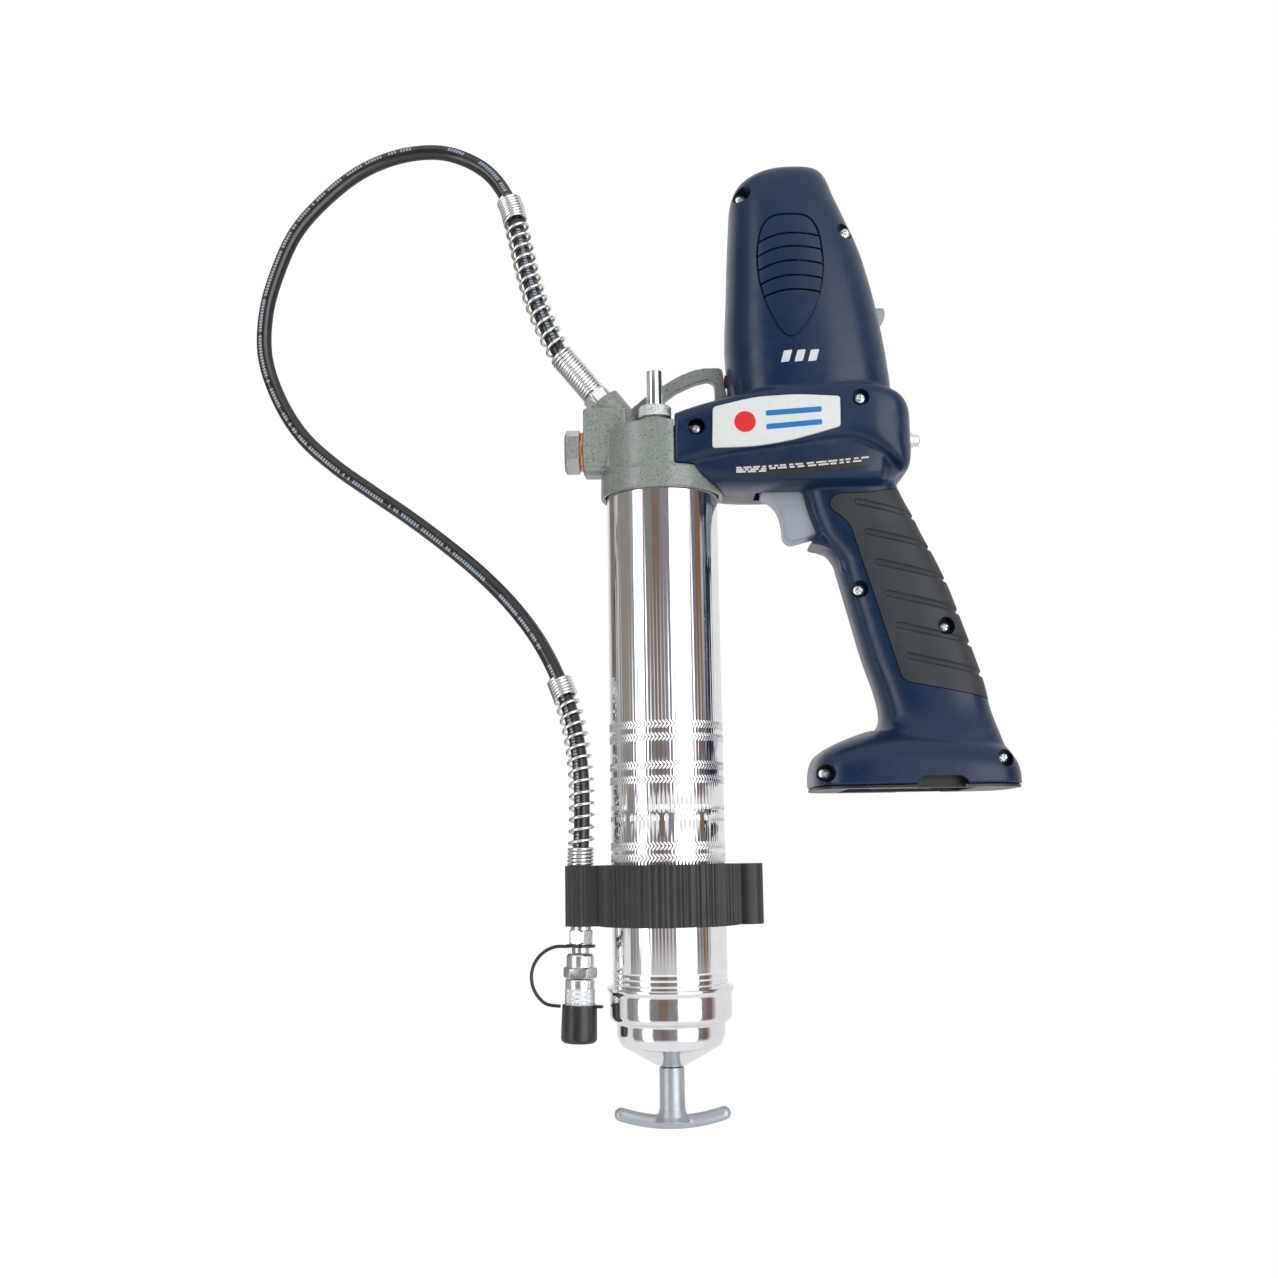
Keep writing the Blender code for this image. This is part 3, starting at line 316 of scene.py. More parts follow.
def swept(name, points, radius, sides=16, flat=1.0, with_map=False):
    """A bar along a line. radius is a number or one for each point, and flat thins it sideways."""
    path = Path(points)
    radii = radius if isinstance(radius, (list, tuple)) else [radius] * len(points)
    verts = []
    for place, tangent, side, r in zip(path.points, path.tangents, path.sides, radii):
        other = tangent.cross(side)
        for k in range(sides):
            angle = 2 * math.pi * k / sides
            verts.append(place + side * (r * flat * math.cos(angle)) + other * (r * math.sin(angle)))
    faces = []
    for row in range(len(points) - 1):
        faces += bridge(row * sides, (row + 1) * sides, sides)
    faces += [tuple(range(sides)), tuple(range(len(verts) - 1, len(verts) - sides - 1, -1))]
    obj = outward(new_object(name, verts, faces))
    if with_map:
        layer = obj.data.uv_layers.new(name="along").data
        for polygon in obj.data.polygons:
            columns = [obj.data.loops[n].vertex_index % sides for n in polygon.loop_indices]
            wraps = max(columns) - min(columns) > sides / 2
            for n, column in zip(polygon.loop_indices, columns):
                row = obj.data.loops[n].vertex_index // sides
                turn = 1.0 if wraps and column == 0 else column / sides
                layer[n].uv = (path.travelled[row] * MM, turn)
    return obj


def coil(name, path, stretches, radius, wire, points_a_turn=18, sides=8):
    """Spring wire wound round a path. stretches are (start, end, turns), one after another."""
    line, turns_done = [], 0.0
    for start, end, turns in stretches:
        count = max(2, round(turns * points_a_turn))
        for k in range(count):
            share = k / count
            angle = 2 * math.pi * (turns_done + turns * share)
            place, _, side, other = path.at(start + (end - start) * share)
            line.append(place + side * (radius * math.cos(angle)) + other * (radius * math.sin(angle)))
        turns_done += turns
    return swept(name, line, wire, sides)


def fused(name, objects, voxel, smoothing):
    """One skin over several solids, with soft fillets where they meet."""
    bm = bmesh.new()
    for obj in objects:
        bm.from_mesh(obj.data)
        bpy.data.objects.remove(obj)
    skin = from_bmesh(name, bm)
    remesh = skin.modifiers.new("remesh", "REMESH")
    remesh.mode = "VOXEL"
    remesh.voxel_size = voxel
    smooth = skin.modifiers.new("smooth", "SMOOTH")
    smooth.factor = 0.5
    smooth.iterations = smoothing
    return applied(skin)


# ---------------------------------------------------------------- housing sections


def section(values, inset, sides):
    """A rounded section between two points of the side view, as deep as half_depth each way."""
    x1, y1, x2, y2, half_depth, squareness = values
    middle, half = Vector((x1 + x2, y1 + y2, 0)) / 2, Vector((x2 - x1, y2 - y1, 0)) / 2
    across = half.normalized() * (half.length - inset)
    points = []
    for k in range(sides):
        angle = 2 * math.pi * k / sides
        c, s = math.cos(angle), math.sin(angle)
        u = math.copysign(abs(c) ** (2 / squareness), c)
        v = math.copysign(abs(s) ** (2 / squareness), s)
        points.append(middle + across * u + Vector((0, 0, (half_depth - inset) * v)))
    return points


def loft(name, sections, inset=0.0, sides=88, steps=6):
    """A closed skin through sections, smooth from one to the next."""
    fine = []
    for a, b, c, d in zip(sections[:1] + sections, sections, sections[1:], sections[2:] + sections[-1:]):
        a, b, c, d = (np.array(s, dtype=float) for s in (a, b, c, d))
        for k in range(steps):
            t = k / steps
            fine.append(
                0.5 * (2 * b + (c - a) * t + (2 * a - 5 * b + 4 * c - d) * t ** 2
                       + (3 * b - a - 3 * c + d) * t ** 3)
            )
    fine.append(np.array(sections[-1], dtype=float))
    verts = [p for values in fine for p in section(values, inset, sides)]
    faces = []
    for row in range(len(fine) - 1):
        faces += bridge(row * sides, (row + 1) * sides, sides)
    faces += [tuple(range(sides)), tuple(range(len(verts) - 1, len(verts) - sides - 1, -1))]
    return outward(new_object(name, verts, faces))


def level(y, left, right, half_depth, squareness=2.6):
    """A section across the gun at one height."""
    return (left, y, right, y, half_depth, squareness)


def upright(x, low, high, half_depth, squareness=6.5):
    """A section across the gun at one distance from the tube."""
    return (x, low, x, high, half_depth, squareness)


BARREL = [
    level(20, 40, 116, 30), level(50, 36, 120, 33), level(68, 34.8, 118.8, 33.5),
    level(85, 34.4, 116.4, 33.2), level(107, 35.6, 112.2, 32.4), level(129, 36.6, 106.4, 31.2),
    level(148, 37.8, 98.8, 29.4), level(159, 38.8, 94.2, 27.5), level(167, 42.6, 91.4, 25.0),
    level(172.8, 51.5, 88.8, 20.0), level(176.4, 66.0, 85.4, 11.0),
]
BAND = [
    upright(6.3, 9.6, 39.6, 30.4), upright(14, 11.6, 41.8, 32.6), upright(25, 13.8, 44.6, 34.4),
    upright(45, 16.4, 49.6, 34.4), upright(69, 19.2, 53.2, 34.4), upright(94, 22.2, 53.8, 34.4),
    upright(110, 16, 52.6, 34.2), upright(119.6, 9.5, 49.4, 31.6), upright(124.6, 9, 45.2, 26.5),
    upright(126.8, 14, 41.0, 20.5),
]
LOWER_BODY = [
    upright(6.4, 9, 30, 27, 4.0), upright(30, 1.6, 30, 29, 4.0), upright(60, 1.0, 34, 29.6, 5.0),
    upright(104, 1.0, 34, 29.6, 5.0), upright(114, 2.6, 34, 26, 4.0), upright(120.4, 6, 32, 21, 3.5),
]
HANDLE = [
    (71, 18, 118, 24, 19, 3.0), (71.5, 1, 122, 2.6, 19, 3.0), (78, -21, 128.8, -12, 19, 3.0),
    (87.6, -34.5, 133.4, -22.5, 19, 3.0), (90.4, -44, 138.2, -32, 19, 3.0),
    (95.8, -64.8, 145.4, -48.5, 19.2, 3.0), (101.2, -85.6, 152.2, -68.6, 19.6, 3.0),
    (106.3, -101.2, 157.2, -84, 20, 3.0), (108.9, -113.9, 161.4, -98, 21, 3.0),
    (107, -121, 164.2, -112, 23, 3.0), (99, -127, 168.2, -125.5, 27, 3.2), (91, -136, 171.6, -137, 30, 3.6),
]
FOOT = [
    (101, -122.6, 167, -128.4, 24, 3.2), (86, -128.2, 171, -133, 31, 3.6),
    (76, -134.2, 173.8, -138, 34.4, 4.0), (72.8, -141.5, 175.4, -143.5, 35.85, 4.4),
    level(-150.6, 72.4, 176.0, 35.85, 4.4),
]
TRIGGER_LIP = [
    (75.2, -26.4), (78.3, -21.2), (94, -22), (94, -44), (90.6, -41.6), (89.2, -34.4), (87, -30.4),
    (82, -27.8),
]
TRIGGER_WINDOW = [
    (50.2, -40), (50.2, 4.4), (51.6, 5.8), (66, 5.8), (70.2, 3.4), (72, -2), (77.7, -22.0),
    (75.0, -26.5), (66, -40),
]
GRIP = [
    (86.6, -3.6), (90, -2.4), (104, -2.2), (119, 0.6), (131, 2.0), (190, -40), (175, -108.6),
    (163, -107.6), (121, -99.0), (118, -96.6), (104.5, -50), (97.5, -27), (95.5, -19.5), (91, -14),
    (86.2, -10.6), (84.6, -7.0),
]
VENT_OVAL = [
    (66.9, 142.9), (75, 142.2), (79.7, 138.6), (82.6, 131.5), (83.8, 122), (83.9, 112), (82.4, 102),
    (79.4, 92), (75.0, 83.3), (70.2, 77.4), (65.7, 75.8), (61.6, 78.6), (57.8, 85), (53.9, 95),
    (51.2, 106), (50.1, 117.6), (50.8, 128), (53.3, 137.0), (58.5, 142.0),
]
VENT_ROWS = (132.1, 124.8, 117.0, 109.0, 101.3)

# Screws as x, y and the height that the head sits at.
SCREWS = [
    (44.1, 158.1, 10.5), (96.6, 135.8, 17.5), (100.0, 43.4, 30.0), (98.9, -51.3, 11.0),
    (141.6, -70.8, 10.0), (77.5, -144.4, 20.0), (165.6, -138.1, 20.0), (17.3, 29.8, 26.5),
]
SCREW_R, RECESS_R, BOSS_R = 3.1, 4.4, 5.9
GAP = 0.3
WALL = 2.6
GRIP_THICK = 2.0
SEAM = 0.15


def housing_cavity():
    """The space inside, less the screw bosses and the motor's two ribs."""
    coarse = {"sides": 24, "steps": 2}
    cavity = loft("space_barrel", BARREL[:-1], WALL, **coarse)
    open_band = [upright(2.3, 10, 43.6, 30.4), *BAND[1:-1]]
    open_lower = [upright(2.4, 9, 30, 27, 4.0), *LOWER_BODY[1:-1]]
    open_foot = [*FOOT[:-1], level(-154.6, 72.4, 176.0, 36.0, 4.4)]
    join(
        cavity, loft("space_band", open_band, WALL, **coarse),
        loft("space_lower", open_lower, WALL, **coarse),
        loft("space_handle", HANDLE, WALL + GRIP_THICK + GAP, **coarse),
        loft("space_foot", open_foot, WALL, **coarse),
    )
    for x, y, _ in SCREWS[:-1]:
        cut(cavity, rod("boss", (x, y, -40), (x, y, 40), BOSS_R, 24))
    for y in (95.0, 143.0):
        cut(cavity, box("motor_rib", (30, y, -40), (120, y + 2.4, 40)))
    return cavity


def vent_slots():
    """Arched slots across the oval, lower at both ends."""
    slots = []
    for y in VENT_ROWS:
        upper = [(x, y + 0.55 - slot_drop(x)) for x in range(46, 89, 2)]
        lower = [(x, y - 0.55 - slot_drop(x)) for x in range(88, 45, -2)]
        slot = prism("slot", upper + lower, -50, 50)
        slots.append(keep(slot, prism("slot_end", smooth_line(VENT_OVAL, 5, closed=True), -60, 60)))
    return slots


def slot_drop(x):
    """How far a vent slot lies below its crown at x."""
    return (0.0145 if x < 68 else 0.0085) * (x - 68) ** 2


GROOVES = [(99.1, -6.7), (103.6, -22.2), (108.4, -38.0), (112.9, -54.2), (117.4, -70.4), (121.8, -86.0)]
GROOVE_R, GROOVE_LIFT = 2.0, 0.95


def grip_grooves(form):
    """Round-ended finger grooves that slope down to the handle's back edge and pass round it."""
    bm = bmesh.new()
    bm.from_mesh(form.data)
    skin = BVHTree.FromBMesh(bm)
    bm.free()
    slope = Vector((1.0, -0.235, 0.0)).normalized()
    found = []
    for x, y in GROOVES:
        near = []
        for k in range(60):
            spot = Vector((x, y, 60)) + slope * k
            place, normal, _, _ = skin.ray_cast(spot, Vector((0, 0, -1)))
            if place is None or normal.z < 0.35:
                break
            near.append(place + normal * GROOVE_LIFT)
        edge = []
        for z in (9.0, 4.5, 0.0, -4.5, -9.0):
            spot = Vector((x, y, z)) + slope * 100
            place, normal, _, _ = skin.ray_cast(spot, -slope)
            edge.append(place + normal * GROOVE_LIFT)
        far = [Vector((p.x, p.y, -p.z)) for p in reversed(near)]
        line = smooth_line(near[::3] + edge + far[::-3][::-1], 3)
        found.append(swept("groove", line, GROOVE_R, 16))
        for place in (line[0], line[-1]):
            found.append(turned("groove_end", place, (0, 0, 1), ball(GROOVE_R), 20))
    return found


def ball(radius):
    return [(radius * math.sin(a), radius * math.cos(a)) for a in np.linspace(0, math.pi, 11)]


def housing_form():
    lip = prism("lip", fillet(TRIGGER_LIP, 1.6), -13, 13, bevel=2.0)
    solids = [
        loft("barrel", BARREL), loft("band", BAND), loft("lower_body", LOWER_BODY),
        loft("handle", HANDLE), loft("foot", FOOT), lip,
    ]
    return fused("housing_form", solids, 1.35 * FINE, 6)


def build_housing():
    form = housing_form()
    oval_line = smooth_line(VENT_OVAL, 5, closed=True)
    oval = cut(prism("oval", oval_line, -50, 50), loft("barrel_core", BARREL, 0.45))
    oval_rim = prism("oval_rim", grown(oval_line, 0.15), -50, 50)
    cut(oval_rim, prism("oval_middle", grown(oval_line, -0.85), -60, 60), loft("groove_core", BARREL, 1.5))
    handle_core = loft("handle_core", HANDLE, GRIP_THICK + GAP)
    grip_outline = fillet(GRIP, 4.0)
    grip_pocket = cut(prism("grip_pocket", fillet(grown(GRIP, 0.4), 4.4), -40, 40), handle_core)

    marks = keep(slanted_marks(), copied(form, 0.12))
    cut(marks, copied(form))
    label = keep(label_plate(), copied(form, 0.35))
    cut(label, copied(form, -0.2))
    print_rows = keep(label_print(), copied(form, 0.42))
    cut(print_rows, copied(form, -0.1))

    grip = keep(prism("grip_form", grip_outline, -40, 40), copied(form, 0.2))
    cut(grip, loft("grip_core", HANDLE, GRIP_THICK))
    cut(grip, *grip_grooves(form))
    x, y, seat = SCREWS[4]
    cut(grip, rod("grip_recess", (x, y, seat - 2), (x, y, 60), RECESS_R + 0.2, 40))

    cut(
        form, oval, oval_rim, *vent_slots(), grip_pocket,
        prism("trigger_window", TRIGGER_WINDOW, -9.2, 9.2),
        box("trigger_slot", (48, -25.2, -8.4), (91, 7.2, 8.4)),
        housing_cavity(),
        rod("collar_relief", (0, -5, 0), (0, 12.3, 0), 32.0, 96),
        rod("motor_relief", (72, 80, 0), (72, 150, 0), 18.8, 48),
        box("arch_notch", (28.0, 46, -7.5), (36.4, 62, 0.3)),
        box("selector_slot", (104, 82.6, -3.8), (124, 102.2, 3.8)),
        box("selector_room", (104, 78, -7.2), (110.2, 108, 7.2)),
        rod("bolt_hole", (118, 29.8, 0), (135, 29.8, 0), 2.4, 24),
    )
    for x, y, seat in SCREWS:
        cut(form, rod("recess", (x, y, seat), (x, y, 60), RECESS_R, 48))
        cut(form, rod("clearance", (x, y, -13 if y != 29.8 else 1), (x, y, seat + 1), 1.8, 16))
    notch = fillet([
        (119.6, -160), (120.4, -149.4), (123.0, -146.6), (142.4, -146.6), (145.6, -149.0), (147.0, -160),
    ], 1.4)
    for low, high in ((20, 44), (-44, -20)):
        cut(form, prism("latch_notch", notch, low, high))

    for name, low, high in (("near", SEAM, 45), ("far", -45, -SEAM)):
        half = keep(copied(form), box("half", (-10, -170, low), (200, 200, high)))
        half.name = f"housing_shell_{name}"
        show(half, "gun", navy_plastic, f"housing_{name}", slot="navy_plastic")
        insert = keep(copied(grip), box("half", (60, -130, low), (200, 40, high)))
        insert.name = f"soft_grip_{name}"
        show(insert, "gun", grip_rubber, f"grip_insert_{name}", slot="grip_rubber")
    bpy.data.objects.remove(form)
    bpy.data.objects.remove(grip)
    show(marks, "gun", silver_print, slot="badge")
    show(label, "gun", label_black, "rating_label", slot="label")
    show(print_rows, "gun", label_ink, slot="label")


def slanted_marks():
    """Three slanted printed bars in place of a rating mark."""
    bars = []
    for k in range(3):
        x = 60.6 + 6.8 * k
        bar = [(x, 62.6), (x + 1.7, 68.6), (x + 5.9, 68.9), (x + 4.2, 62.9)]
        bars.append(prism("bar", fillet(bar, 0.5), 20, 50))
    marks = join(bars[0], *bars[1:])
    marks.name = "printed_bars"
    return marks


def label_plate():
    outline = [
        (35.6, 10.2), (60, 11.2), (82, 12.8), (103.4, 15.2), (103.6, 9.0), (82, 6.6), (60, 5.6), (35.2, 6.0),
    ]
    plate = prism("label_plate", fillet(smooth_sides(outline), 0.8), 18, 50)
    plate.name = "rating_plate"
    return plate


def smooth_sides(outline):
    """The label's long sides as curves, with its corners kept."""
    top, bottom = smooth_line(outline[:4], 5), smooth_line(outline[4:], 5)
    return [p.to_2d() if len(p) > 2 else p for p in top + bottom]


def label_print():
    """Rows of plain dashes in place of the plate's printing."""
    dashes = []
    for share, start, end in ((0.74, 37, 101), (0.5, 37, 96), (0.27, 37, 50)):
        x = float(start)
        while x < end:
            length = random.uniform(1.6, 5.2)
            y = label_height(x, share)
            rise = label_height(x + length, share) - y
            right, half = x + length, 0.42
            dash = [(x, y - half), (x, y + half), (right, y + rise + half), (right, y + rise - half)]
            dashes.append(prism("dash", dash, 18, 50))
            x += length + random.uniform(0.7, 1.9)
    rows = join(dashes[0], *dashes[1:])
    rows.name = "plate_dashes"
    return rows


def label_height(x, share):
    """A height on the label between its lower edge, 0, and its upper edge, 1."""
    t = (x - 35) / 69
    return (5.9 + 3.1 * t * t) * (1 - share) + (10.1 + 5.0 * t ** 1.5) * share


def build_badges():
    """A raised white plate on each side with a plain disc and two stripes."""
    outline = fillet(
        [*smooth_line([(25.5, 39.0), (45, 43.4), (57, 44.5), (70, 44.9), (89.6, 43.8)], 5),
         *smooth_line([(89.3, 28.2), (75, 24.2), (62, 21.0), (45, 18.6), (24.8, 18.0)], 5)], 2.4, 5
    )
    for name, low, high in (("near", 33.6, 36.0), ("far", -36.0, -33.6)):
        top, bottom = (high - 0.07, low) if low > 0 else (high, low + 0.07)
        plate = prism(f"badge_{name}", outline, bottom, top, bevel=0.75, segments=4)
        show(plate, "gun", badge_white, f"badge_plate_{name}", slot="badge", crease=50)
        low, high = (35.85, 36.0) if name == "near" else (-36.0, -35.85)
        disc = arc((41.5, 31.0), 5.4, 0, 350, 35)
        marks = [
            (f"red_disc_{name}", disc, badge_red),
            (f"upper_stripe_{name}", [(52, 36.6), (80, 38.4), (80, 35.6), (52, 33.8)], badge_blue),
            (f"lower_stripe_{name}", [(52, 29.6), (80, 31.8), (80, 29.0), (52, 26.8)], badge_blue),
        ]
        for mark_name, corners, finish in marks:
            outline_here = corners if len(corners) > 4 else fillet(corners, 0.9)
            mark = prism(mark_name, outline_here, low, high, bevel=0.03, segments=1)
            show(mark, "gun", finish, slot="badge")


def build_screws():
    """Pan-head cross-recess screws."""
    for k, (x, y, seat) in enumerate(SCREWS):
        end = seat - 13 if k == len(SCREWS) - 1 else -11.0
        base, top = seat + GAP, seat + GAP + 2.4
        bends = np.linspace(0, math.pi / 2, 9)
        crown = [(SCREW_R * math.sin(a), top - 1.5 + 1.5 * math.cos(a)) for a in bends]
        profile = [(0, top), *crown[1:], (SCREW_R, base), (1.5, base), (1.5, end), (0, end)]
        screw = turned(f"cross_screw_{k + 1}", (x, y, 0), (0, 0, 1), profile, 40)
        for turn in (0, 1):
            across = box("recess_bar", (-1.75, -0.42, 0), (1.75, 0.42, 3))
            twist = Matrix.Rotation(math.radians(20 + 37 * k + 90 * turn), 4, "Z")
            across.data.transform(Matrix.Translation((x, y, top - 1.25)) @ twist)
            cut(screw, across)
        show(screw, "gun", zinc_plate, f"housing_screw_{k + 1}", slot="zinc")


def build_controls():
    side = fillet([
        (50.9, 5.2), (50.9, -0.4), (55.6, -2.0), (59.2, -5.8), (61.2, -10.8), (62.0, -16.5),
        (62.2, -21.8), (65.6, -24.9), (77.0, -21.9), (84, -20.6), (84, 3.2), (70, 3.0), (66, 5.2),
    ], 2.2, 5)
    trigger = fused("trigger_blade", [prism("trigger_form", side, -7.8, 7.8, bevel=1.7, segments=5)], 0.5, 3)
    show(trigger, "trigger", grey_plastic, "trigger", slot="grey_plastic", crease=60)
    plate = box("selector_plate", (107.0, 88, -6.4), (109.6, 105, 6.4), 0.5)
    knob = fillet([
        (108.5, 91.4), (116.4, 91.8), (118.6, 94.6), (119.4, 98.6), (118.9, 101.2), (108.5, 101.4),
    ], 1.2, 5)
    selector = join(plate, prism("knob", knob, -3.4, 3.4, bevel=0.7))
    selector.name = "speed_slider"
    show(selector, "selector", grey_plastic, "speed_selector", slot="grey_plastic")
    profile = fillet([
        (0, 135.0), (2.6, 135.0), (3.2, 134.2), (3.2, 131.6), (4.3, 131.4), (4.3, 127.3), (2.1, 127.1),
        (2.1, 119.0), (0, 119.0),
    ], 0.5, 3, closed=False)
    bolt = turned("handle_bolt", (0, 29.8, 0), (1, 0, 0), profile, 48)
    cut(bolt, box("bolt_slot", (134.0, 27.0, -0.5), (137, 32.6, 0.5)))
    show(bolt, "gun", zinc_plate, "end_bolt", slot="zinc")


def build_battery_base():
    """The black base under the foot, with a pocket, a terminal block and a notch for the latch."""
    base = box("battery_foot", (85, -151.0, -27), (156, -144.4, 27))
    join(base, loft("flange", [level(y, 72.6, 175.8, 35.6, 4.4) for y in (-150.9, -151.4, -152.1)], 0.3))
    cut(base, box("pocket", (89, -160, -23), (152, -146.4, 23)))
    join(base, box("terminal_block", (104, -151.0, -12), (136, -145.4, 12), 0.4))
    for z in (-8, 0, 8):
        cut(base, box("terminal_slot", (108, -160, z - 1), (132, -147.6, z + 1)))
    notch = fillet([
        (119.0, -160), (121.2, -151.4), (123.4, -149.6), (142.8, -149.6), (145.2, -151.4), (147.0, -160),
    ], 0.8)
    for low, high in ((28, 44), (-44, -28)):
        cut(base, prism("base_notch", notch, low, high))
    base.name = "battery_dock"
    show(base, "gun", black_plastic, "battery_base", slot="black_plastic")


# ---------------------------------------------------------------- pump head

HEAD_R, HEAD_TOP, HEAD_FACE, NUT_LOW = 30.5, 35.0, 6.0, 40.0
BORE_Y = 26.0
PLUG_FACE = -40.3
VENT_X, VENT_Z, VENT_R = -3.2, 9.5, 4.1
FILL_X, FILL_Z = 0.5, -13.6
PORT = Vector((-31.0, 52.5, 0.0))
PORT_DIRECTION = Vector((-0.62, 0.785, 0.0)).normalized()
ARCH = [
    (-16, 32), (-15, 49.5), (-8, 55.5), (1.4, 61.7), (10, 66.8), (18, 70.0), (24, 71.0), (31.4, 71.0),
    (33.2, 69.4), (33.8, 62), (35.6, 54), (35.6, 48.6), (28.8, 48.6), (28.8, 60.5), (28.0, 63.2),
    (25.4, 64.6), (18.6, 63.0), (8.6, 58.6), (2.3, 53.8), (0.5, 48.0), (0.5, 32),
]


def build_pump_head():
    barrel = rod("barrel", (0, 5, 0), (0, HEAD_TOP, 0), HEAD_R, 96)
    cut(barrel, box("flat", (HEAD_FACE, 11.6, -50), (60, 60, 50)))
    collar = turned(
        "collar", (0, 0, 0), (0, 1, 0),
        [(0, 12), (31.0, 12), (31.5, 11), (31.7, 4), (31.7, 0), (0, 0)], 96,
    )
    block = box("block", (PLUG_FACE, 14.6, -14), (-18, 46.0, 14), 1.0)
    boss_start = PORT - PORT_DIRECTION * 34
    boss = rod("boss", boss_start, PORT, 10.3, 64)
    tongue = box("tongue", (0, 14.5, -19), (30, 34.5, 19))
    vent_foot = rod("vent_foot", (VENT_X, 30, VENT_Z), (VENT_X, NUT_LOW, VENT_Z), 8.8, 48)
    fill_foot = rod("fill_foot", (FILL_X, 30, FILL_Z), (FILL_X, NUT_LOW, FILL_Z), 5.2, 40)
    arch = prism("arch", fillet(ARCH, 1.6), -7.2, 0.0)
    flange = rod("plug_seat", (PLUG_FACE - 0.2, BORE_Y, 0), (-30, BORE_Y, 0), 12.6, 64)
    solids = [barrel, collar, block, boss, tongue, vent_foot, fill_foot, arch, flange]
    head = fused("pump_casting", solids, 0.95 * FINE, 4)
    screw_x, screw_y, screw_seat = SCREWS[-1]
    cut(
        head,
        rod("tube_socket", (0, -5, 0), (0, 9.9, 0), 29.3, 128),
        turned(
            "rim_chamfer", (0, 0, 0), (0, 1, 0),
            [(0, 1.2), (29.0, 1.2), (30.9, -0.7), (30.9, -3), (0, -3)], 128,
        ),
        port_face(),
        rod("plunger_bore", (-24, BORE_Y, 0), (40, BORE_Y, 0), 5.3, 32),
        rod("check_seat", (-28, BORE_Y, 0), (-20, BORE_Y, 0), 2.6, 24),
        rod("check_chamber", (-60, BORE_Y, 0), (-27, BORE_Y, 0), 6.3, 32),
        rod("inlet", (-10, 5, 0), (-10, BORE_Y, 0), 3.0, 20),
        rod("outlet", (-31, BORE_Y, 0), (-31, 49, 0), 2.0, 16),
        rod("port_bore", PORT - PORT_DIRECTION * 11, PORT + PORT_DIRECTION * 5, 5.0, 32),
        rod("vent_bore", (VENT_X, 33.5, VENT_Z), (VENT_X, 60, VENT_Z), VENT_R + GAP, 32),
        rod("nut_seat", (VENT_X, NUT_LOW, VENT_Z), (VENT_X, 60, VENT_Z), 8.9, 40),
        rod("fill_bore", (FILL_X, 12, FILL_Z), (FILL_X, 60, FILL_Z), 2.5, 24),
        rod("screw_tap", (screw_x, screw_y, screw_seat - 14), (screw_x, screw_y, 30), 1.8, 16),
    )
    show(head, "gun", cast_paint, "pump_head", slot="casting", crease=40)

    plug = turned(
        "hex_plug", (0, BORE_Y, 0), (-1, 0, 0),
        [(0, 50.2), (10.0, 50.2), (11.9, 49.4), (11.9, 42.9), (11.5, 42.3), (5.9, 42.3), (5.9, 39.2),
         (0, 39.2)], 6,
    )
    crown = [(0, 50.2), (9.8, 50.2), (12.3, 48.9), (12.3, 39), (0, 39)]
    keep(plug, turned("plug_crown", (0, BORE_Y, 0), (-1, 0, 0), crown, 96))
    show(plug, "gun", brushed_zinc, "outlet_plug", slot="zinc", crease=20)
    washer = fillet([(10.4, 42.1), (10.4, 40.4), (6.4, 40.4), (6.4, 42.1)], 0.4, 3)
    ring = turned("crush_washer", (0, BORE_Y, 0), (-1, 0, 0), washer, 64)
    show(ring, "gun", copper, "copper_washer", slot="copper")

    stem = fillet([(0, 66.0), (VENT_R, 66.0), (VENT_R, 37), (0, 37)], 0.5, 4, closed=False)
    pin = turned("vent_pin", (VENT_X, 0, VENT_Z), (0, 1, 0), stem, 64)
    show(pin, "vent", chrome, "vent_stem", slot="chrome")
    nut = knurled_ring(VENT_R + GAP, 8.6, NUT_LOW + GAP, 46.6, 34)
    vent_collar = turned("vent_collar", (VENT_X, 0, VENT_Z), (0, 1, 0), *nut)
    show(vent_collar, "gun", zinc_plate, "vent_nut", slot="zinc")
    fill_profile, steps, relief = knurled_ring(0, 5.5, NUT_LOW + GAP, 51.6, 26)
    fill = turned("fill_coupler", (FILL_X, 0, FILL_Z), (0, 1, 0), fill_profile, steps, relief)
    show(fill, "gun", zinc_plate, "bulk_fill_fitting", slot="zinc")
    bumper = box("red_bumper", (34.0, 61.0, -6), (35.2, 67.0, -1), 0.3)
    show(bumper, "gun", red_rubber, "arch_bumper", slot="red_rubber")


def port_face():
    """The flat that is machined across the hose boss."""
    face = box("port_face", (-20, 0, -20), (20, 30, 20))
    turn = PORT_DIRECTION.to_track_quat("Y", "Z").to_matrix().to_4x4()
    face.data.transform(Matrix.Translation(PORT - PORT_DIRECTION * 0.3) @ turn)
    return face


def triangle_wave(t):
    return 1 - np.abs((t % 1.0) * 2 - 1)


def knurl(count, low, high, depth, lean=1.0):
    """Crossed V grooves between two heights."""
    def relief(angle, height, radius):
        pitch = 2 * math.pi * radius / count
        across, along = angle * count / (2 * math.pi), height / pitch * lean
        cuts = np.maximum(triangle_wave(across + along), triangle_wave(across - along))
        inside = (height > low) & (height < high)
        return np.where(inside, -depth * np.clip((cuts - 0.45) / 0.55, 0, 1), 0.0)
    return relief


def knurled_ring(bore, radius, low, high, count):
    """A knurled ring's profile, steps and relief."""
    edge = 0.6
    rows = [(radius, high - edge - (high - low - 2 * edge) * k / 40) for k in range(41)]
    profile = [
        (radius - edge, high), (radius, high - edge + 0.02), *rows, (radius, low + edge - 0.02),
        (radius - edge, low),
    ]
    if bore:
        profile = [(bore, high), *profile, (bore, low)]
    else:
        profile = [(0, high), *profile, (2.1, low), (2.1, 30), (0, 30)]
    return profile, count * 8, knurl(count, low + edge, high - edge, 0.45)


# ---------------------------------------------------------------- grease tube and follower

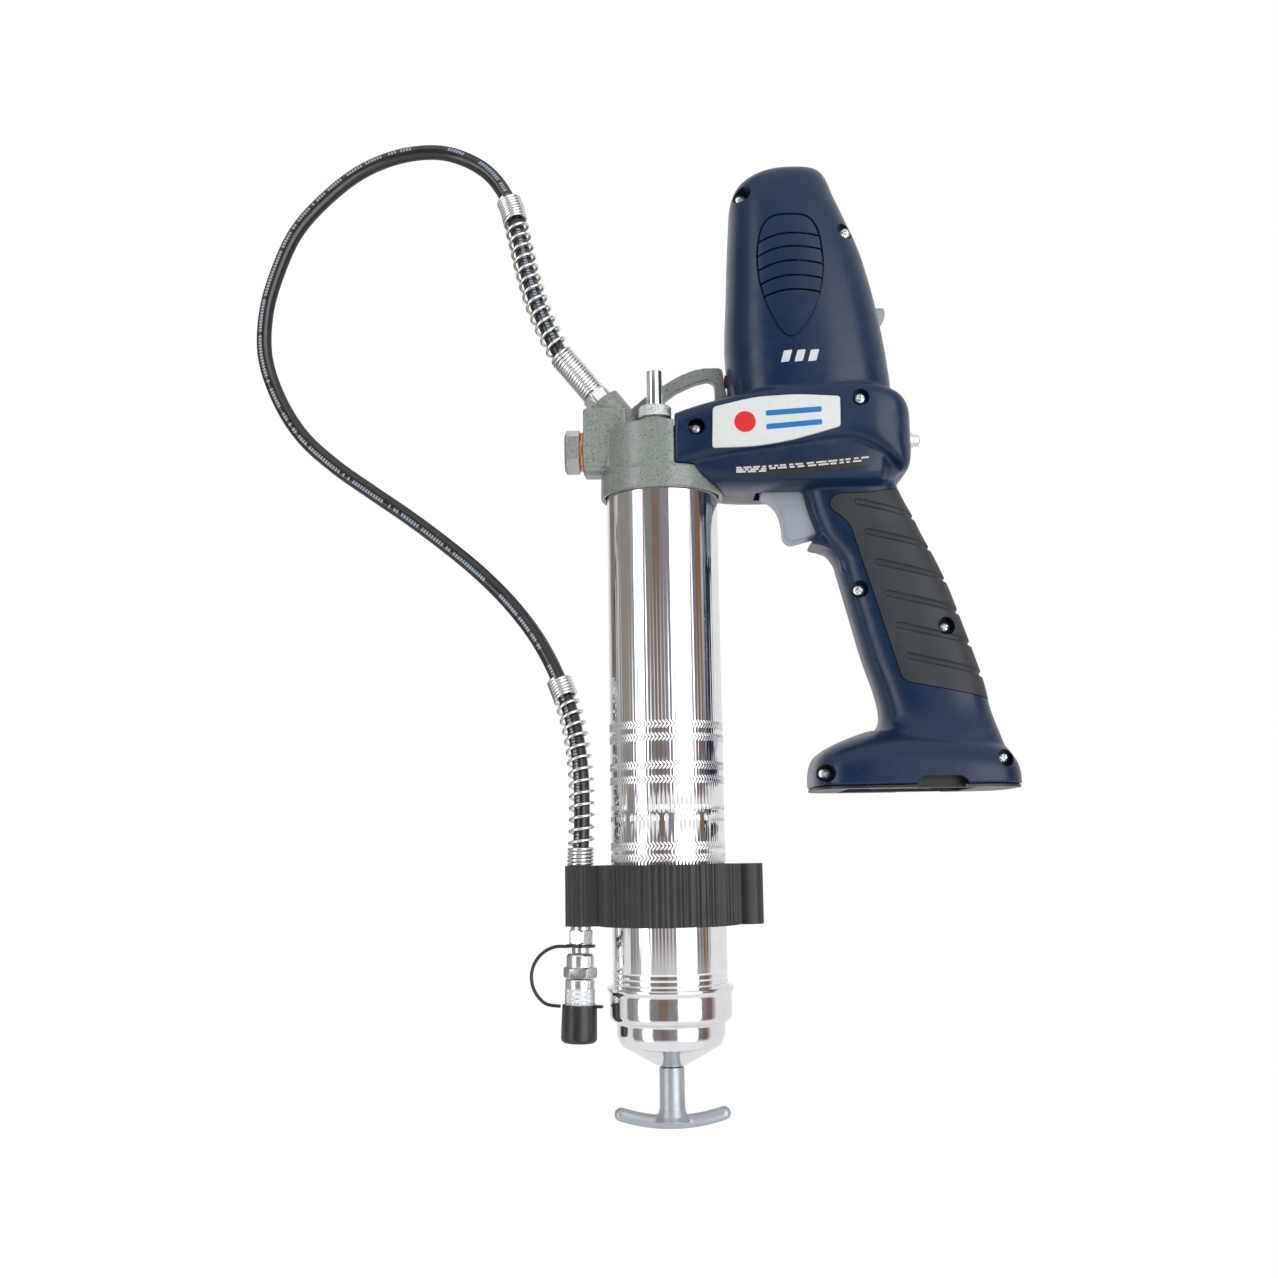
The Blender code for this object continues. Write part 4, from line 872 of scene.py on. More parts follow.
TUBE_R = 28.6
KNURL_BANDS = (
    (-120.9, -116.9), (-127.2, -123.2), (-141.0, -137.0), (-148.0, -144.0), (-180.4, -176.4),
    (-186.2, -182.2),
)
STAMPED_ROWS = (-159.5, -165.0)
FINE_GROOVES = (-240.2, -243.0, -245.8)


def tube_relief(angle, height, radius):
    """Rolled bands of short slanted marks, two stamped rows and three fine grooves."""
    moved = np.zeros(np.broadcast(angle, height).shape)
    outside = radius > TUBE_R - 0.5
    count = 104
    for low, high in KNURL_BANDS:
        middle = (low + high) / 2
        lean = np.where(height > middle, 1.0, -1.0) * (height - middle) / 1.6
        marks = triangle_wave(angle * count / (2 * math.pi) + lean * 0.8)
        gap = np.abs(height - middle) > 0.18
        inside = (height > low) & (height < high) & gap
        moved += np.where(inside & outside, 0.16 * np.clip(marks * 4 - 1.9, 0, 1), 0.0)
    for row, middle in enumerate(STAMPED_ROWS):
        cells = np.floor(angle * 78 / (2 * math.pi) + row * 0.4)
        pick = np.abs(np.sin(cells * 12.9898 + row * 78.233) * 43758.5453) % 1.0
        place = (angle * 78 / (2 * math.pi) + row * 0.4) % 1.0
        dash = (pick > 0.22) & (place > 0.12) & (place < 0.85)
        inside = np.abs(height - middle) < 1.25
        moved += np.where(inside & dash & outside, -0.16, 0.0)
    for middle in FINE_GROOVES:
        moved += np.where(outside, -0.28 * np.clip(1 - np.abs(height - middle) / 0.45, 0, 1), 0.0)
    return moved


def tube_rows():
    """Heights of the tube's rings, close together only where its surface is worked."""
    rows = {7.0, 6.4, -261.0}
    for low, high in KNURL_BANDS:
        rows.update(np.linspace(low - 0.05, high + 0.05, 17).round(3))
    for middle in STAMPED_ROWS:
        rows.update((middle - 1.3, middle - 1.2, middle, middle + 1.2, middle + 1.3))
    for middle in FINE_GROOVES:
        rows.update(middle + d for d in (-0.5, -0.25, 0, 0.25, 0.5))
    return sorted(rows, reverse=True)


def build_tube():
    up = (0, 1, 0)
    profile = [(27.4, 7.0), *((TUBE_R, y) for y in tube_rows()), (27.4, -261.0)]
    tube = turned("chrome_tube", (0, 0, 0), up, profile, 1040, tube_relief)
    show(tube, "gun", tube_chrome, "grease_tube", slot="chrome", crease=60)

    cap = fillet([
        (28.9, -247.2), (31.0, -247.2), (31.6, -247.9), (31.5, -248.8), (30.4, -250.8), (30.3, -261.4),
        (29.4, -263.4), (26.9, -264.6), (26.7, -271.0), (24.8, -275.7), (6.8, -285.8), (5.2, -285.8),
        (5.2, -283.6), (23.4, -273.6), (25.0, -270.6), (25.0, -263.6), (28.9, -262.4),
    ], 1.3, 6)
    spun_cap = turned("spun_cap", (0, 0, 0), up, cap, 160)
    show(spun_cap, "gun", soft_chrome, "tube_end_cap", slot="chrome", crease=60)

    rod_profile = fillet([(0, -11.4), (3.2, -11.4), (3.2, -300), (0, -300)], 0.4, 3, closed=False)
    pull_rod = turned("pull_rod", (0, 0, 0), up, rod_profile, 48)
    show(pull_rod, "follower", polished_steel, "follower_rod", slot="steel")
    stem_profile = fillet(
        [(0, -286.2), (6.2, -286.2), (6.2, -300), (6.45, -313), (0, -313)], 0.5, 3, closed=False
    )
    stem = turned("stem", (0, 0, 0), up, stem_profile, 48)
    bar_line = [(25.2 * u, -312.8 + 3.9 * u * u, 0) for u in np.linspace(-1.127, 1.127, 41)]
    bar_radii = [
        3.2 * math.sqrt(max(0.0, 1 - max(0.0, (abs(u) - 1.0) / 0.135) ** 2.4)) + 0.15
        for u in np.linspace(-1.127, 1.127, 41)
    ]
    bar = swept("bar", bar_line, bar_radii, 32)
    flare = [(0, -306), (6.3, -306), (7.4, -310), (9.5, -312.2), (0, -313)]
    skirt = turned("skirt", (0, 0, 0), up, flare, 48)
    handle = fused("pull_handle", [stem, bar, skirt], 0.7 * FINE, 4)
    cut(handle, rod("rod_hole", (0, -280, 0), (0, -300.4, 0), 3.5, 32))
    show(handle, "follower", die_cast, "follower_handle", slot="die_cast", crease=60)


# ---------------------------------------------------------------- hose clip

CLIP_LOW, CLIP_HIGH = -217.4, -187.6
CLIP_R, POCKET_R, POCKET_WALL = 36.0, 7.0, 1.2
LINE_X, SPARE_X = -44.2, 39.4


def ribbed_circle(radius, ribs, depth):
    """An outline with rounded ribs, which are uneven as on a hand-cut mould."""
    points = []
    for k in range(ribs):
        width = 2 * math.pi / ribs
        shift = width * 0.16 * math.sin(k * 2.1)
        for share, height in ((0.0, 0.0), (0.16, 0.1), (0.28, 0.8), (0.5, 1.0), (0.72, 0.8), (0.84, 0.1)):
            angle = width * (k + share) + shift
            r = radius - depth + depth * height
            points.append((r * math.cos(angle), r * math.sin(angle)))
    return points


def build_clip():
    ring = prism("rubber_clip", ribbed_circle(CLIP_R, 76, 0.8), CLIP_LOW, CLIP_HIGH, along="y")
    outer = POCKET_R + POCKET_WALL
    for x in (LINE_X, SPARE_X):
        if x > 0:
            around = arc((x, 0), outer, 0, 360 - 360 / 72, 71)
        else:
            around = [(x + p[0], p[1]) for p in ribbed_circle(outer, 26, 0.25)]
        join(ring, prism("pocket", around, CLIP_LOW, CLIP_HIGH, along="y"))
        web = sorted((math.copysign(30, x), x - math.copysign(2, x)))
        sides = [(web[0], -7.6), (web[1], -7.6), (web[1], 7.6), (web[0], 7.6)]
        join(ring, prism("web", sides, CLIP_LOW, CLIP_HIGH, along="y"))
    low, high = CLIP_LOW - 5, CLIP_HIGH + 5
    cut(ring, rod("clip_bore", (0, low, 0), (0, high, 0), TUBE_R + GAP, 128))
    for x in (LINE_X, SPARE_X):
        cut(ring, rod("pocket_bore", (x, low, 0), (x, high, 0), POCKET_R, 64))
        reach = sorted((x, x + math.copysign(12, x)))
        cut(ring, box("pocket_mouth", (reach[0], low, -2.6), (reach[1], high, 2.6)))
    soften_rims(ring, 0.35)
    show(ring, "gun", clip_rubber, "hose_clip", slot="clip_rubber", crease=50)


def soften_rims(obj, width):
    bevel = obj.modifiers.new("rims", "BEVEL")
    bevel.width = width
    bevel.segments = 2
    bevel.limit_method = "ANGLE"
    bevel.angle_limit = math.radians(60)
    return applied(obj)


# ---------------------------------------------------------------- hose and coupler

HOSE_R, GUARD_R, GUARD_WIRE = 4.0, 5.9, 0.82
HOSE_ROUTE = [
    (-45.0, 70.2, -0.2), (-53.0, 81.0, -0.5), (-63.0, 104.0, -3.8), (-70.0, 128.0, -8.9),
    (-75.0, 151.0, -14.6), (-81.5, 175.0, -20.4), (-95.0, 195.0, -25.8), (-117.0, 207.0, -29.9),
    (-141.0, 207.0, -31.7), (-164.0, 198.0, -31.8), (-184.0, 182.0, -31.8), (-200.0, 163.0, -31.8),
    (-210.0, 140.0, -31.8), (-216.0, 116.0, -31.8), (-216.0, 91.0, -31.8), (-208.0, 67.0, -31.8),
    (-195.0, 46.0, -31.8), (-177.0, 29.0, -31.8), (-156.5, 14.0, -31.8), (-136.0, -0.5, -31.8),
    (-116.0, -16.0, -31.8), (-97.5, -32.0, -30.5), (-80.5, -50.0, -26.7), (-66.0, -70.0, -21.4),
    (-55.0, -92.0, -15.1), (-47.5, -115.0, -8.7), (-43.8, -139.0, -3.3), (-43.2, -163.0, -0.4),
    (-44.2, -186.0, 0.0), (-44.2, -200.0, 0.0),
]
LINE_START = Vector((LINE_X, -219.6, 0.0))
LINE_TILT = math.radians(-1.6)


def build_hose():
    route = smooth_line(HOSE_ROUTE, 12)
    hose = swept("grease_hose", route, HOSE_R, 32, with_map=True)
    path = Path([PORT + PORT_DIRECTION * 6.0, *route, (LINE_X, -216.6, 0)])
    head_spring = coil(
        "head_spring", path,
        [(0, 27, 16), (27, 116, 13), (116, 130, 8)], GUARD_R, GUARD_WIRE,
    )
    end = path.length
    coupler_spring = coil(
        "coupler_spring", path,
        [(end - 128, end - 118, 6), (end - 118, end - 38, 13.5), (end - 38, end - 28, 5.5),
         (end - 28, end - 0.5, 15)],
        GUARD_R, GUARD_WIRE,
    )

    fitting_end = (route[0] - PORT).dot(PORT_DIRECTION)
    nut = fillet([
        (0, fitting_end + 2), (4.6, fitting_end + 2), (4.6, 6.6), (6.4, 6.4), (6.6, 5.6), (7.6, 5.2),
        (7.6, GAP), (4.7, GAP), (4.7, -9.0), (0, -9.0),
    ], 0.3, 2, closed=False)
    head_fitting = turned("head_fitting", PORT, PORT_DIRECTION, nut, 64)
    hexagon = [(7.9 * math.cos(a), 7.9 * math.sin(a)) for a in np.arange(6) * math.pi / 3 + 0.2]
    blank = prism("hex_blank", hexagon, GAP, 6.2)
    core = rod("hex_core", (0, 0, -12), (0, 0, 30), 5.6, 48)
    blank = join(blank, core)
    turn = PORT_DIRECTION.to_track_quat("Z", "Y").to_matrix().to_4x4()
    blank.data.transform(Matrix.Translation(PORT) @ turn)
    keep(head_fitting, blank)
    show(head_fitting, "gun", brushed_zinc, "hose_fitting_head", slot="zinc", crease=25)

    line = Matrix.Translation(LINE_START) @ Matrix.Rotation(LINE_TILT, 4, "Z")
    coupler_pieces = build_coupler(line, route[-1].y - LINE_START.y)
    show(head_spring, "gun", spring_wire, "guard_spring_head", slot="zinc", crease=80)
    show(coupler_spring, "gun", spring_wire, "guard_spring_coupler", slot="zinc", crease=80)
    show(hose, "gun", hose_rubber, "hose", slot="hose_rubber", crease=80)
    Path(route).length * MM


def hex_bar(name, radius, low, high, turn=0.0):
    """A hexagonal bar along y with chamfered corners."""
    corners = [(radius * math.cos(a), radius * math.sin(a)) for a in np.arange(6) * math.pi / 3 + turn]
    bar = prism(name, corners, low, high, along="y")
    inner = radius * 0.9
    crown = [(0, high), (inner, high), (radius, high - 0.7), (radius, low + 0.7), (inner, low), (0, low)]
    return keep(bar, turned("crown", (0, 0, 0), (0, 1, 0), crown, 64))


def build_coupler(line, hose_end):
    up = (0, 1, 0)
    ferrule = fillet([
        (0, hose_end + 1), (4.8, hose_end + 1), (4.8, 2.6), (5.1, 2.4), (5.1, 0), (4.4, -0.2),
        (4.4, -11.0), (0, -11.0),
    ], 0.3, 2, closed=False)
    fitting = turned("coupler_nipple", (0, 0, 0), up, ferrule, 48)
    join(fitting, hex_bar("nipple_hex", 6.5, -6.4, 0.1, 0.45))

    profile = fillet([
        (0, -11.3), (6.0, -11.3), (6.9, -12.4), (6.9, -17.7), (7.3, -18.2), (7.3, -23.2), (3.5, -23.4),
        (3.5, -46), (0, -46),
    ], 0.4, 3, closed=False)
    body = turned("coupler_barrel", (0, 0, 0), up, profile, 64)
    join(body, hex_bar("coupler_hex", 8.5, -23.1, -17.9, 0.12))

    rows = [(7.45, -28.0 - 8.6 * k / 46) for k in range(47)]
    outer = [
        (3.9, -23.7), (6.9, -23.7), (7.35, -24.3), (7.35, -27.4), (7.0, -27.6), (7.0, -27.9), *rows,
        (7.3, -37.0), (7.3, -46), (5.4, -50), (3.9, -50),
    ]
    sleeve = turned("coupler_grip", (0, 0, 0), up, outer, 34 * 8, knurl(34, -36.6, -28.0, 0.3))

    cap_profile = fillet([
        (7.7, -36.2), (8.6, -36.2), (8.7, -37.8), (9.0, -53.2), (7.6, -54.7), (0, -54.7), (0, -52.4),
        (7.7, -52.4),
    ], 0.9, 5, closed=False)
    cap = turned("dust_cap", (0, 0, 0), up, cap_profile, 72)
    tab = fillet([(5, -36.4), (11.2, -36.4), (11.9, -37.1), (11.2, -37.7), (5, -37.7)], 0.3)
    cap_tab = prism("cap_tab", tab, -2.4, 2.4, bevel=0.2)
    cut(cap_tab, rod("tab_bore", (0, -60, 0), (0, -20, 0), 8.0, 48))
    join(cap, cap_tab)

    loop = [(x, y, 0) for x, y in arc((-9.2, -22.9), 15.1, 62, 262, 30)]
    strap_line = smooth_line([(-5.6, -7.7, 0), *loop[3:-2:3], (-9.4, -37.2, 0)], 6)
    strap = swept("cap_strap", strap_line, 0.85, 12, flat=2.0)
    ring_profile = fillet([(4.7, -6.9), (7.3, -6.9), (7.3, -8.2), (4.7, -8.2)], 0.3, 2)
    ring = turned("strap_ring", (0, 0, 0), up, ring_profile, 56)
    join(strap, ring)

    pieces = (
        (fitting, "gun", brushed_zinc, "hose_fitting_coupler", "zinc"),
        (body, "gun", zinc_plate, "coupler_body", "zinc"),
        (sleeve, "jaw_sleeve", zinc_plate, "coupler_sleeve", "zinc"),
        (cap, "cap", cap_plastic, "coupler_cap", "black_plastic"),
    )
    for piece, body_name, finish, node, slot in pieces:
        piece.data.transform(line)
        show(piece, body_name, finish, node, slot=slot, crease=35)
    strap.data.transform(line)
    show(strap, None, cap_plastic, "cap_tether", slot="black_plastic", crease=60)
    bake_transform(strap)
    return [piece for piece, *_ in pieces] + [strap]


# ---------------------------------------------------------------- finishes


class Finish:
    """A material whose nodes are added one at a time."""

    def __init__(self, name, colour, roughness, metallic=0.0, **sockets):
        self.material = bpy.data.materials.new(name)
        self.material.use_nodes = True
        self.nodes, self.links = self.material.node_tree.nodes, self.material.node_tree.links
        self.shader = self.nodes["Principled BSDF"]
        self.set("Base Color", (*colour, 1.0))
        self.set("Roughness", roughness)
        self.set("Metallic", metallic)
        for socket, value in sockets.items():
            self.set(socket.replace("_", " ").title().replace("Ior", "IOR"), value)
        self.place = self.nodes.new("ShaderNodeTexCoord").outputs["Object"]

    def set(self, socket, value):
        self.shader.inputs[socket].default_value = value

    def noise(self, size, detail=3.0, stretch=(1, 1, 1)):
        """Noise whose features are about size millimetres across."""
        mapping = self.nodes.new("ShaderNodeMapping")
        mapping.inputs["Scale"].default_value = stretch
        texture = self.nodes.new("ShaderNodeTexNoise")
        texture.inputs["Scale"].default_value = 1.0 / (size * MM)
        texture.inputs["Detail"].default_value = detail
        self.links.new(self.place, mapping.inputs["Vector"])
        self.links.new(mapping.outputs["Vector"], texture.inputs["Vector"])
        return texture.outputs["Fac"]

    def ramp(self, value, stops):
        """Colours or greys over the range of a value."""
        node = self.nodes.new("ShaderNodeValToRGB")
        elements = node.color_ramp.elements
        for k, (position, colour) in enumerate(stops):
            element = elements[k] if k < 2 else elements.new(position)
            element.position = position
            element.color = (*colour, 1.0) if isinstance(colour, tuple) else (colour, colour, colour, 1.0)
        self.links.new(value, node.inputs["Fac"])
        return node.outputs["Color"]

    def mix(self, share, first, second):
        node = self.nodes.new("ShaderNodeMix")
        node.data_type = "RGBA"
        self.links.new(share, node.inputs["Factor"])
        for socket, value in (("A", first), ("B", second)):
            target = next(s for s in node.inputs if s.name == socket and s.type == "RGBA")
            if isinstance(value, tuple):
                target.default_value = (*value, 1.0)
            else:
                self.links.new(value, target)
        return next(s for s in node.outputs if s.type == "RGBA")

    def paint(self, socket, value):
        self.links.new(value, self.shader.inputs[socket])
        return self

    def bump(self, height, strength, distance):
        node = self.nodes.new("ShaderNodeBump")
        node.inputs["Strength"].default_value = strength
        node.inputs["Distance"].default_value = distance * MM
        self.links.new(height, node.inputs["Height"])
        self.links.new(node.outputs["Normal"], self.shader.inputs["Normal"])
        return self


def textured_plastic(name, colour, lighter, roughness, grain, depth, gloss=0.5):
    """Moulded plastic with an even spark-eroded grain and faint handling marks."""
    finish = Finish(name, colour, roughness)
    finish.set("Specular IOR Level", gloss)
    finish.paint("Base Color", finish.ramp(finish.noise(26, 4), ((0.3, colour), (0.75, lighter))))
    uneven = ((0.3, roughness - 0.05), (0.7, roughness + 0.07))
    finish.paint("Roughness", finish.ramp(finish.noise(9, 5), uneven))
    return finish.bump(finish.noise(grain, 2), 0.5, depth).material


def metal(name, colour, roughness, grain=(1, 1, 1), spread=0.06, wear=None, depth=0.004):
    """Bare or plated metal with uneven polish."""
    finish = Finish(name, colour, roughness, 1.0)
    tint = tuple(c * 0.9 for c in colour) if wear is None else wear
    finish.paint("Base Color", finish.ramp(finish.noise(7, 5), ((0.3, colour), (0.8, tint))))
    polish = finish.noise(1.6, 4, grain)
    uneven = ((0.25, max(0.02, roughness - spread)), (0.8, roughness + spread))
    finish.paint("Roughness", finish.ramp(polish, uneven))
    return finish.bump(polish, 0.25, depth).material


def speckled_paint():
    """Grey-green paint over a sand casting, with fine dark specks."""
    base, light, speck = (0.190, 0.222, 0.200), (0.240, 0.272, 0.248), (0.018, 0.021, 0.018)
    finish = Finish("cast_paint", base, 0.34, Coat_weight=0.25)
    tone = finish.ramp(finish.noise(2.2, 4), ((0.3, base), (0.7, light)))
    specks = finish.ramp(finish.noise(0.7, 1.5), ((0.335, 1.0), (0.375, 0.0)))
    finish.paint("Base Color", finish.mix(specks, tone, speck))
    finish.paint("Roughness", finish.ramp(finish.noise(1.2, 3), ((0.3, 0.26), (0.75, 0.42))))
    return finish.bump(finish.noise(0.9, 3), 0.35, 0.06).material


def printed_hose():
    """A smooth black cover with one line of pale dashes along it."""
    finish = Finish("hose_cover", (0.012, 0.012, 0.013), 0.22, Coat_weight=0.3)
    finish.shader.inputs["Coat Roughness"].default_value = 0.12
    layout = finish.nodes.new("ShaderNodeUVMap")
    layout.uv_map = "along"
    split = finish.nodes.new("ShaderNodeSeparateXYZ")
    finish.links.new(layout.outputs["UV"], split.inputs["Vector"])

    def maths(operation, first, second=None):
        node = finish.nodes.new("ShaderNodeMath")
        node.operation = operation
        for socket, value in zip(node.inputs, (first, second)):
            if isinstance(value, (int, float)):
                socket.default_value = value
            elif value is not None:
                finish.links.new(value, socket)
        return node.outputs["Value"]

    def chance(value, seed):
        node = finish.nodes.new("ShaderNodeTexWhiteNoise")
        node.noise_dimensions = "1D"
        finish.links.new(maths("ADD", value, seed), node.inputs["W"])
        return node.outputs["Value"]

    along = maths("MULTIPLY", split.outputs["X"], 1000.0 / 1.7)
    cell = maths("FLOOR", along)
    stroke = maths("LESS_THAN", maths("FRACT", along), 0.66)
    word = maths("GREATER_THAN", chance(maths("FLOOR", maths("DIVIDE", along, 6.0)), 3.5), 0.16)
    letter = maths("GREATER_THAN", chance(cell, 11.5), 0.12)
    line = maths("LESS_THAN", maths("ABSOLUTE", maths("SUBTRACT", split.outputs["Y"], 0.03)), 0.036)
    line = maths("MAXIMUM", line, maths("GREATER_THAN", split.outputs["Y"], 0.985))
    mask = maths("MULTIPLY", maths("MULTIPLY", stroke, letter), maths("MULTIPLY", word, line))
    mask = maths("MULTIPLY", mask, 0.8)
    cover = finish.ramp(finish.noise(5, 4), ((0.3, (0.010, 0.010, 0.011)), (0.8, (0.02, 0.02, 0.021))))
    finish.paint("Base Color", finish.mix(mask, cover, (0.30, 0.37, 0.44)))
    finish.paint("Roughness", finish.ramp(finish.noise(3, 4), ((0.3, 0.2), (0.8, 0.34))))
    return finish.bump(finish.noise(0.8, 2), 0.2, 0.02).material


def worked_chrome():
    """Bright chrome that turns to dull, paler metal where the tube is rolled and stamped."""
    finish = Finish("tube_chrome", (0.86, 0.87, 0.88), 0.05, 1.0)
    mark = finish.nodes.new("ShaderNodeAttribute")
    mark.attribute_name = "frost"
    polish = finish.noise(1.6, 4, (1, 0.1, 1))
    bright = finish.ramp(finish.noise(7, 5), ((0.3, (0.87, 0.87, 0.88)), (0.8, (0.80, 0.80, 0.82))))
    finish.paint("Base Color", finish.mix(mark.outputs["Fac"], bright, (0.93, 0.94, 0.95)))
    clear = finish.ramp(polish, ((0.25, 0.03), (0.8, 0.085)))
    finish.paint("Roughness", finish.mix(mark.outputs["Fac"], clear, (0.5, 0.5, 0.5)))
    return finish.bump(polish, 0.2, 0.0012).material


def flat_print(name, colour, roughness):
    """Ink or lacquer with a faint unevenness."""
    finish = Finish(name, colour, roughness)
    shade = tuple(c * 0.86 for c in colour)
    finish.paint("Base Color", finish.ramp(finish.noise(1.4, 3), ((0.3, colour), (0.8, shade))))
    return finish.bump(finish.noise(0.5, 2), 0.1, 0.01).material


navy_plastic = textured_plastic(
    "navy_plastic", (0.0040, 0.0178, 0.0515), (0.0043, 0.0188, 0.0535), 0.27, 0.55, 0.05, 0.36
)
grip_rubber = textured_plastic(
    "grip_rubber", (0.019, 0.023, 0.027), (0.026, 0.030, 0.034), 0.5, 0.45, 0.05, 0.42
)
grey_plastic = textured_plastic("grey_plastic", (0.27, 0.315, 0.355), (0.295, 0.34, 0.38), 0.36, 0.6, 0.03)
black_plastic = textured_plastic(
    "black_plastic", (0.010, 0.010, 0.011), (0.016, 0.016, 0.017), 0.4, 0.5, 0.04
)
cap_plastic = textured_plastic("cap_plastic", (0.014, 0.014, 0.015), (0.022, 0.022, 0.023), 0.34, 0.8, 0.03)
clip_rubber = textured_plastic("clip_rubber", (0.013, 0.016, 0.018), (0.022, 0.025, 0.028), 0.46, 0.6, 0.05)
seal_rubber = textured_plastic("seal_rubber", (0.02, 0.02, 0.02), (0.03, 0.03, 0.03), 0.6, 0.6, 0.04)
red_rubber = textured_plastic("red_rubber", (0.42, 0.02, 0.012), (0.5, 0.03, 0.02), 0.5, 0.6, 0.04)
badge_white = textured_plastic("badge_white", (0.605, 0.635, 0.625), (0.615, 0.645, 0.635), 0.26, 1.2, 0.01)
badge_blue = flat_print("badge_blue", (0.0, 0.17, 0.48), 0.3)
badge_red = flat_print("badge_red", (0.66, 0.018, 0.02), 0.3)
label_black = flat_print("label_black", (0.012, 0.012, 0.013), 0.3)
label_ink = flat_print("label_ink", (0.55, 0.57, 0.58), 0.4)
silver_print = flat_print("silver_print", (0.60, 0.62, 0.64), 0.35)
cast_paint = speckled_paint()
hose_rubber = printed_hose()
chrome = metal("chrome", (0.86, 0.87, 0.88), 0.06, grain=(1, 0.1, 1), spread=0.03, depth=0.0015)
tube_chrome = worked_chrome()
soft_chrome = metal("soft_chrome", (0.84, 0.84, 0.86), 0.11, spread=0.05, depth=0.003)
zinc_plate = metal("zinc_plate", (0.78, 0.81, 0.82), 0.3)
brushed_zinc = metal("brushed_zinc", (0.66, 0.66, 0.655), 0.3)
spring_wire = metal("spring_wire", (0.84, 0.86, 0.85), 0.24)
polished_steel = metal("polished_steel", (0.62, 0.62, 0.62), 0.18, grain=(1, 8, 1))
machined_steel = metal("machined_steel", (0.45, 0.45, 0.46), 0.32)
die_cast = metal("die_cast", (0.46, 0.50, 0.53), 0.5, spread=0.06, depth=0.02)
brass = metal("brass", (0.72, 0.5, 0.2), 0.3)
copper = metal("copper", (0.78, 0.30, 0.16), 0.3)


# ---------------------------------------------------------------- showing pieces


def show(obj, body, finish, *nodes, slot, crease=35):
    """Puts a finished piece in the frame, riding on a body and standing for the given nodes."""
    obj.data.transform(TO_WORLD)
    obj.data.materials.clear()
    obj.data.materials.append(finish)
    obj.data.shade_smooth()
    obj.data.set_sharp_from_angle(angle=math.radians(crease))
    if body:
        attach(obj, body)
    if nodes:
        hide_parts(*nodes)
    return obj


KEPT_NODES = {
    "armature": machined_steel, "motor_can": machined_steel, "cooling_fan": black_plastic,
    "sun_pinion": polished_steel, "ring_gear": machined_steel, "planet_gear_1": polished_steel,
    "planet_gear_2": polished_steel, "planet_gear_3": polished_steel, "planet_carrier": machined_steel,
    "crank": machined_steel, "output_bearing": polished_steel, "gear_case": die_cast,
    "plunger": polished_steel, "check_ball": polished_steel, "check_spring": spring_wire,
    "trigger_switch": black_plastic, "tube_gasket": seal_rubber, "rod_bushing": brass,
    "follower_cup": seal_rubber, "follower_spring": spring_wire,
}


def dress_kept_nodes():
    """Gives each node that stays a finish of its own."""
    for name, finish in KEPT_NODES.items():
        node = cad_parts[name]
        node.data.materials.clear()
        node.data.materials.append(finish)


# ---------------------------------------------------------------- camera, lights and floor


def build_camera():
    camera = bpy.data.cameras.new("camera")
    camera.lens, camera.sensor_width = 42.25, 36.0
    camera.clip_start, camera.clip_end = 0.01, 20.0
    obj = linked("camera", camera)
    forward = Vector((0.002065, 0.139158, -0.990268)).normalized()
    up = Vector((0.0147, 0.990, 0.139))
    right = forward.cross(up).normalized()
    up = right.cross(forward)
    turn = Matrix((right, up, -forward)).transposed().to_4x4()
    obj.matrix_world = Matrix.Translation(TO_WORLD @ Vector((-14.64, -180.09, 763.0))) @ turn
    bpy.context.scene.camera = obj


def build_stage():
    """A floor that is plain white to the camera and a softer grey to everything that it lights."""
    bm = bmesh.new()
    bmesh.ops.create_grid(bm, x_segments=1, y_segments=1, size=4.0)
    floor = from_bmesh("floor", bm)
    floor.location = (0, 0, -0.0001)
    material = bpy.data.materials.new("floor_white")
    material.use_nodes = True
    nodes, links = material.node_tree.nodes, material.node_tree.links
    nodes.remove(nodes["Principled BSDF"])
    seen, felt = nodes.new("ShaderNodeEmission"), nodes.new("ShaderNodeEmission")
    split = nodes.new("ShaderNodeSeparateXYZ")
    links.new(nodes.new("ShaderNodeTexCoord").outputs["Object"], split.inputs["Vector"])
    across = spread_over(nodes, links, split.outputs["X"], AXIS.x - 0.4, AXIS.x)
    bands = nodes.new("ShaderNodeValToRGB")
    for k, (position, colour) in enumerate(FLOOR):
        element = bands.color_ramp.elements[k] if k < 2 else bands.color_ramp.elements.new(position)
        element.position = position
        element.color = (*colour, 1.0)
    links.new(across, bands.inputs["Fac"])
    front = spread_over(nodes, links, split.outputs["Y"], AXIS.y - 0.300, AXIS.y - 0.240)
    mixed = nodes.new("ShaderNodeMix")
    mixed.data_type = "RGBA"
    links.new(front, mixed.inputs["Factor"])
    sockets = [s for s in mixed.inputs if s.type == "RGBA"]
    sockets[0].default_value = (0.85, 0.85, 0.85, 1.0)
    links.new(bands.outputs["Color"], sockets[1])
    links.new(next(s for s in mixed.outputs if s.type == "RGBA"), felt.inputs["Color"])
    links.new(mixed_by_camera(nodes, links, felt.outputs["Emission"], seen.outputs["Emission"]),
              nodes["Material Output"].inputs["Surface"])
    floor.data.materials.append(material)


# The floor's brightness from 400 mm left of the tube, 0, to the tube, 1.
FLOOR = (
    (0.0, (0.27, 0.25, 0.22)), (0.45, (0.30, 0.27, 0.24)), (0.55, (0.58, 0.58, 0.58)),
    (0.70, (0.50, 0.49, 0.48)), (0.76, (0.20, 0.17, 0.15)), (0.84, (0.22, 0.19, 0.17)),
    (0.88, (0.85, 0.85, 0.85)),
)


def spread_over(nodes, links, value, low, high):
    """0 at low to 1 at high."""
    node = nodes.new("ShaderNodeMapRange")
    node.inputs["From Min"].default_value = low
    node.inputs["From Max"].default_value = high
    links.new(value, node.inputs["Value"])
    return node.outputs["Result"]


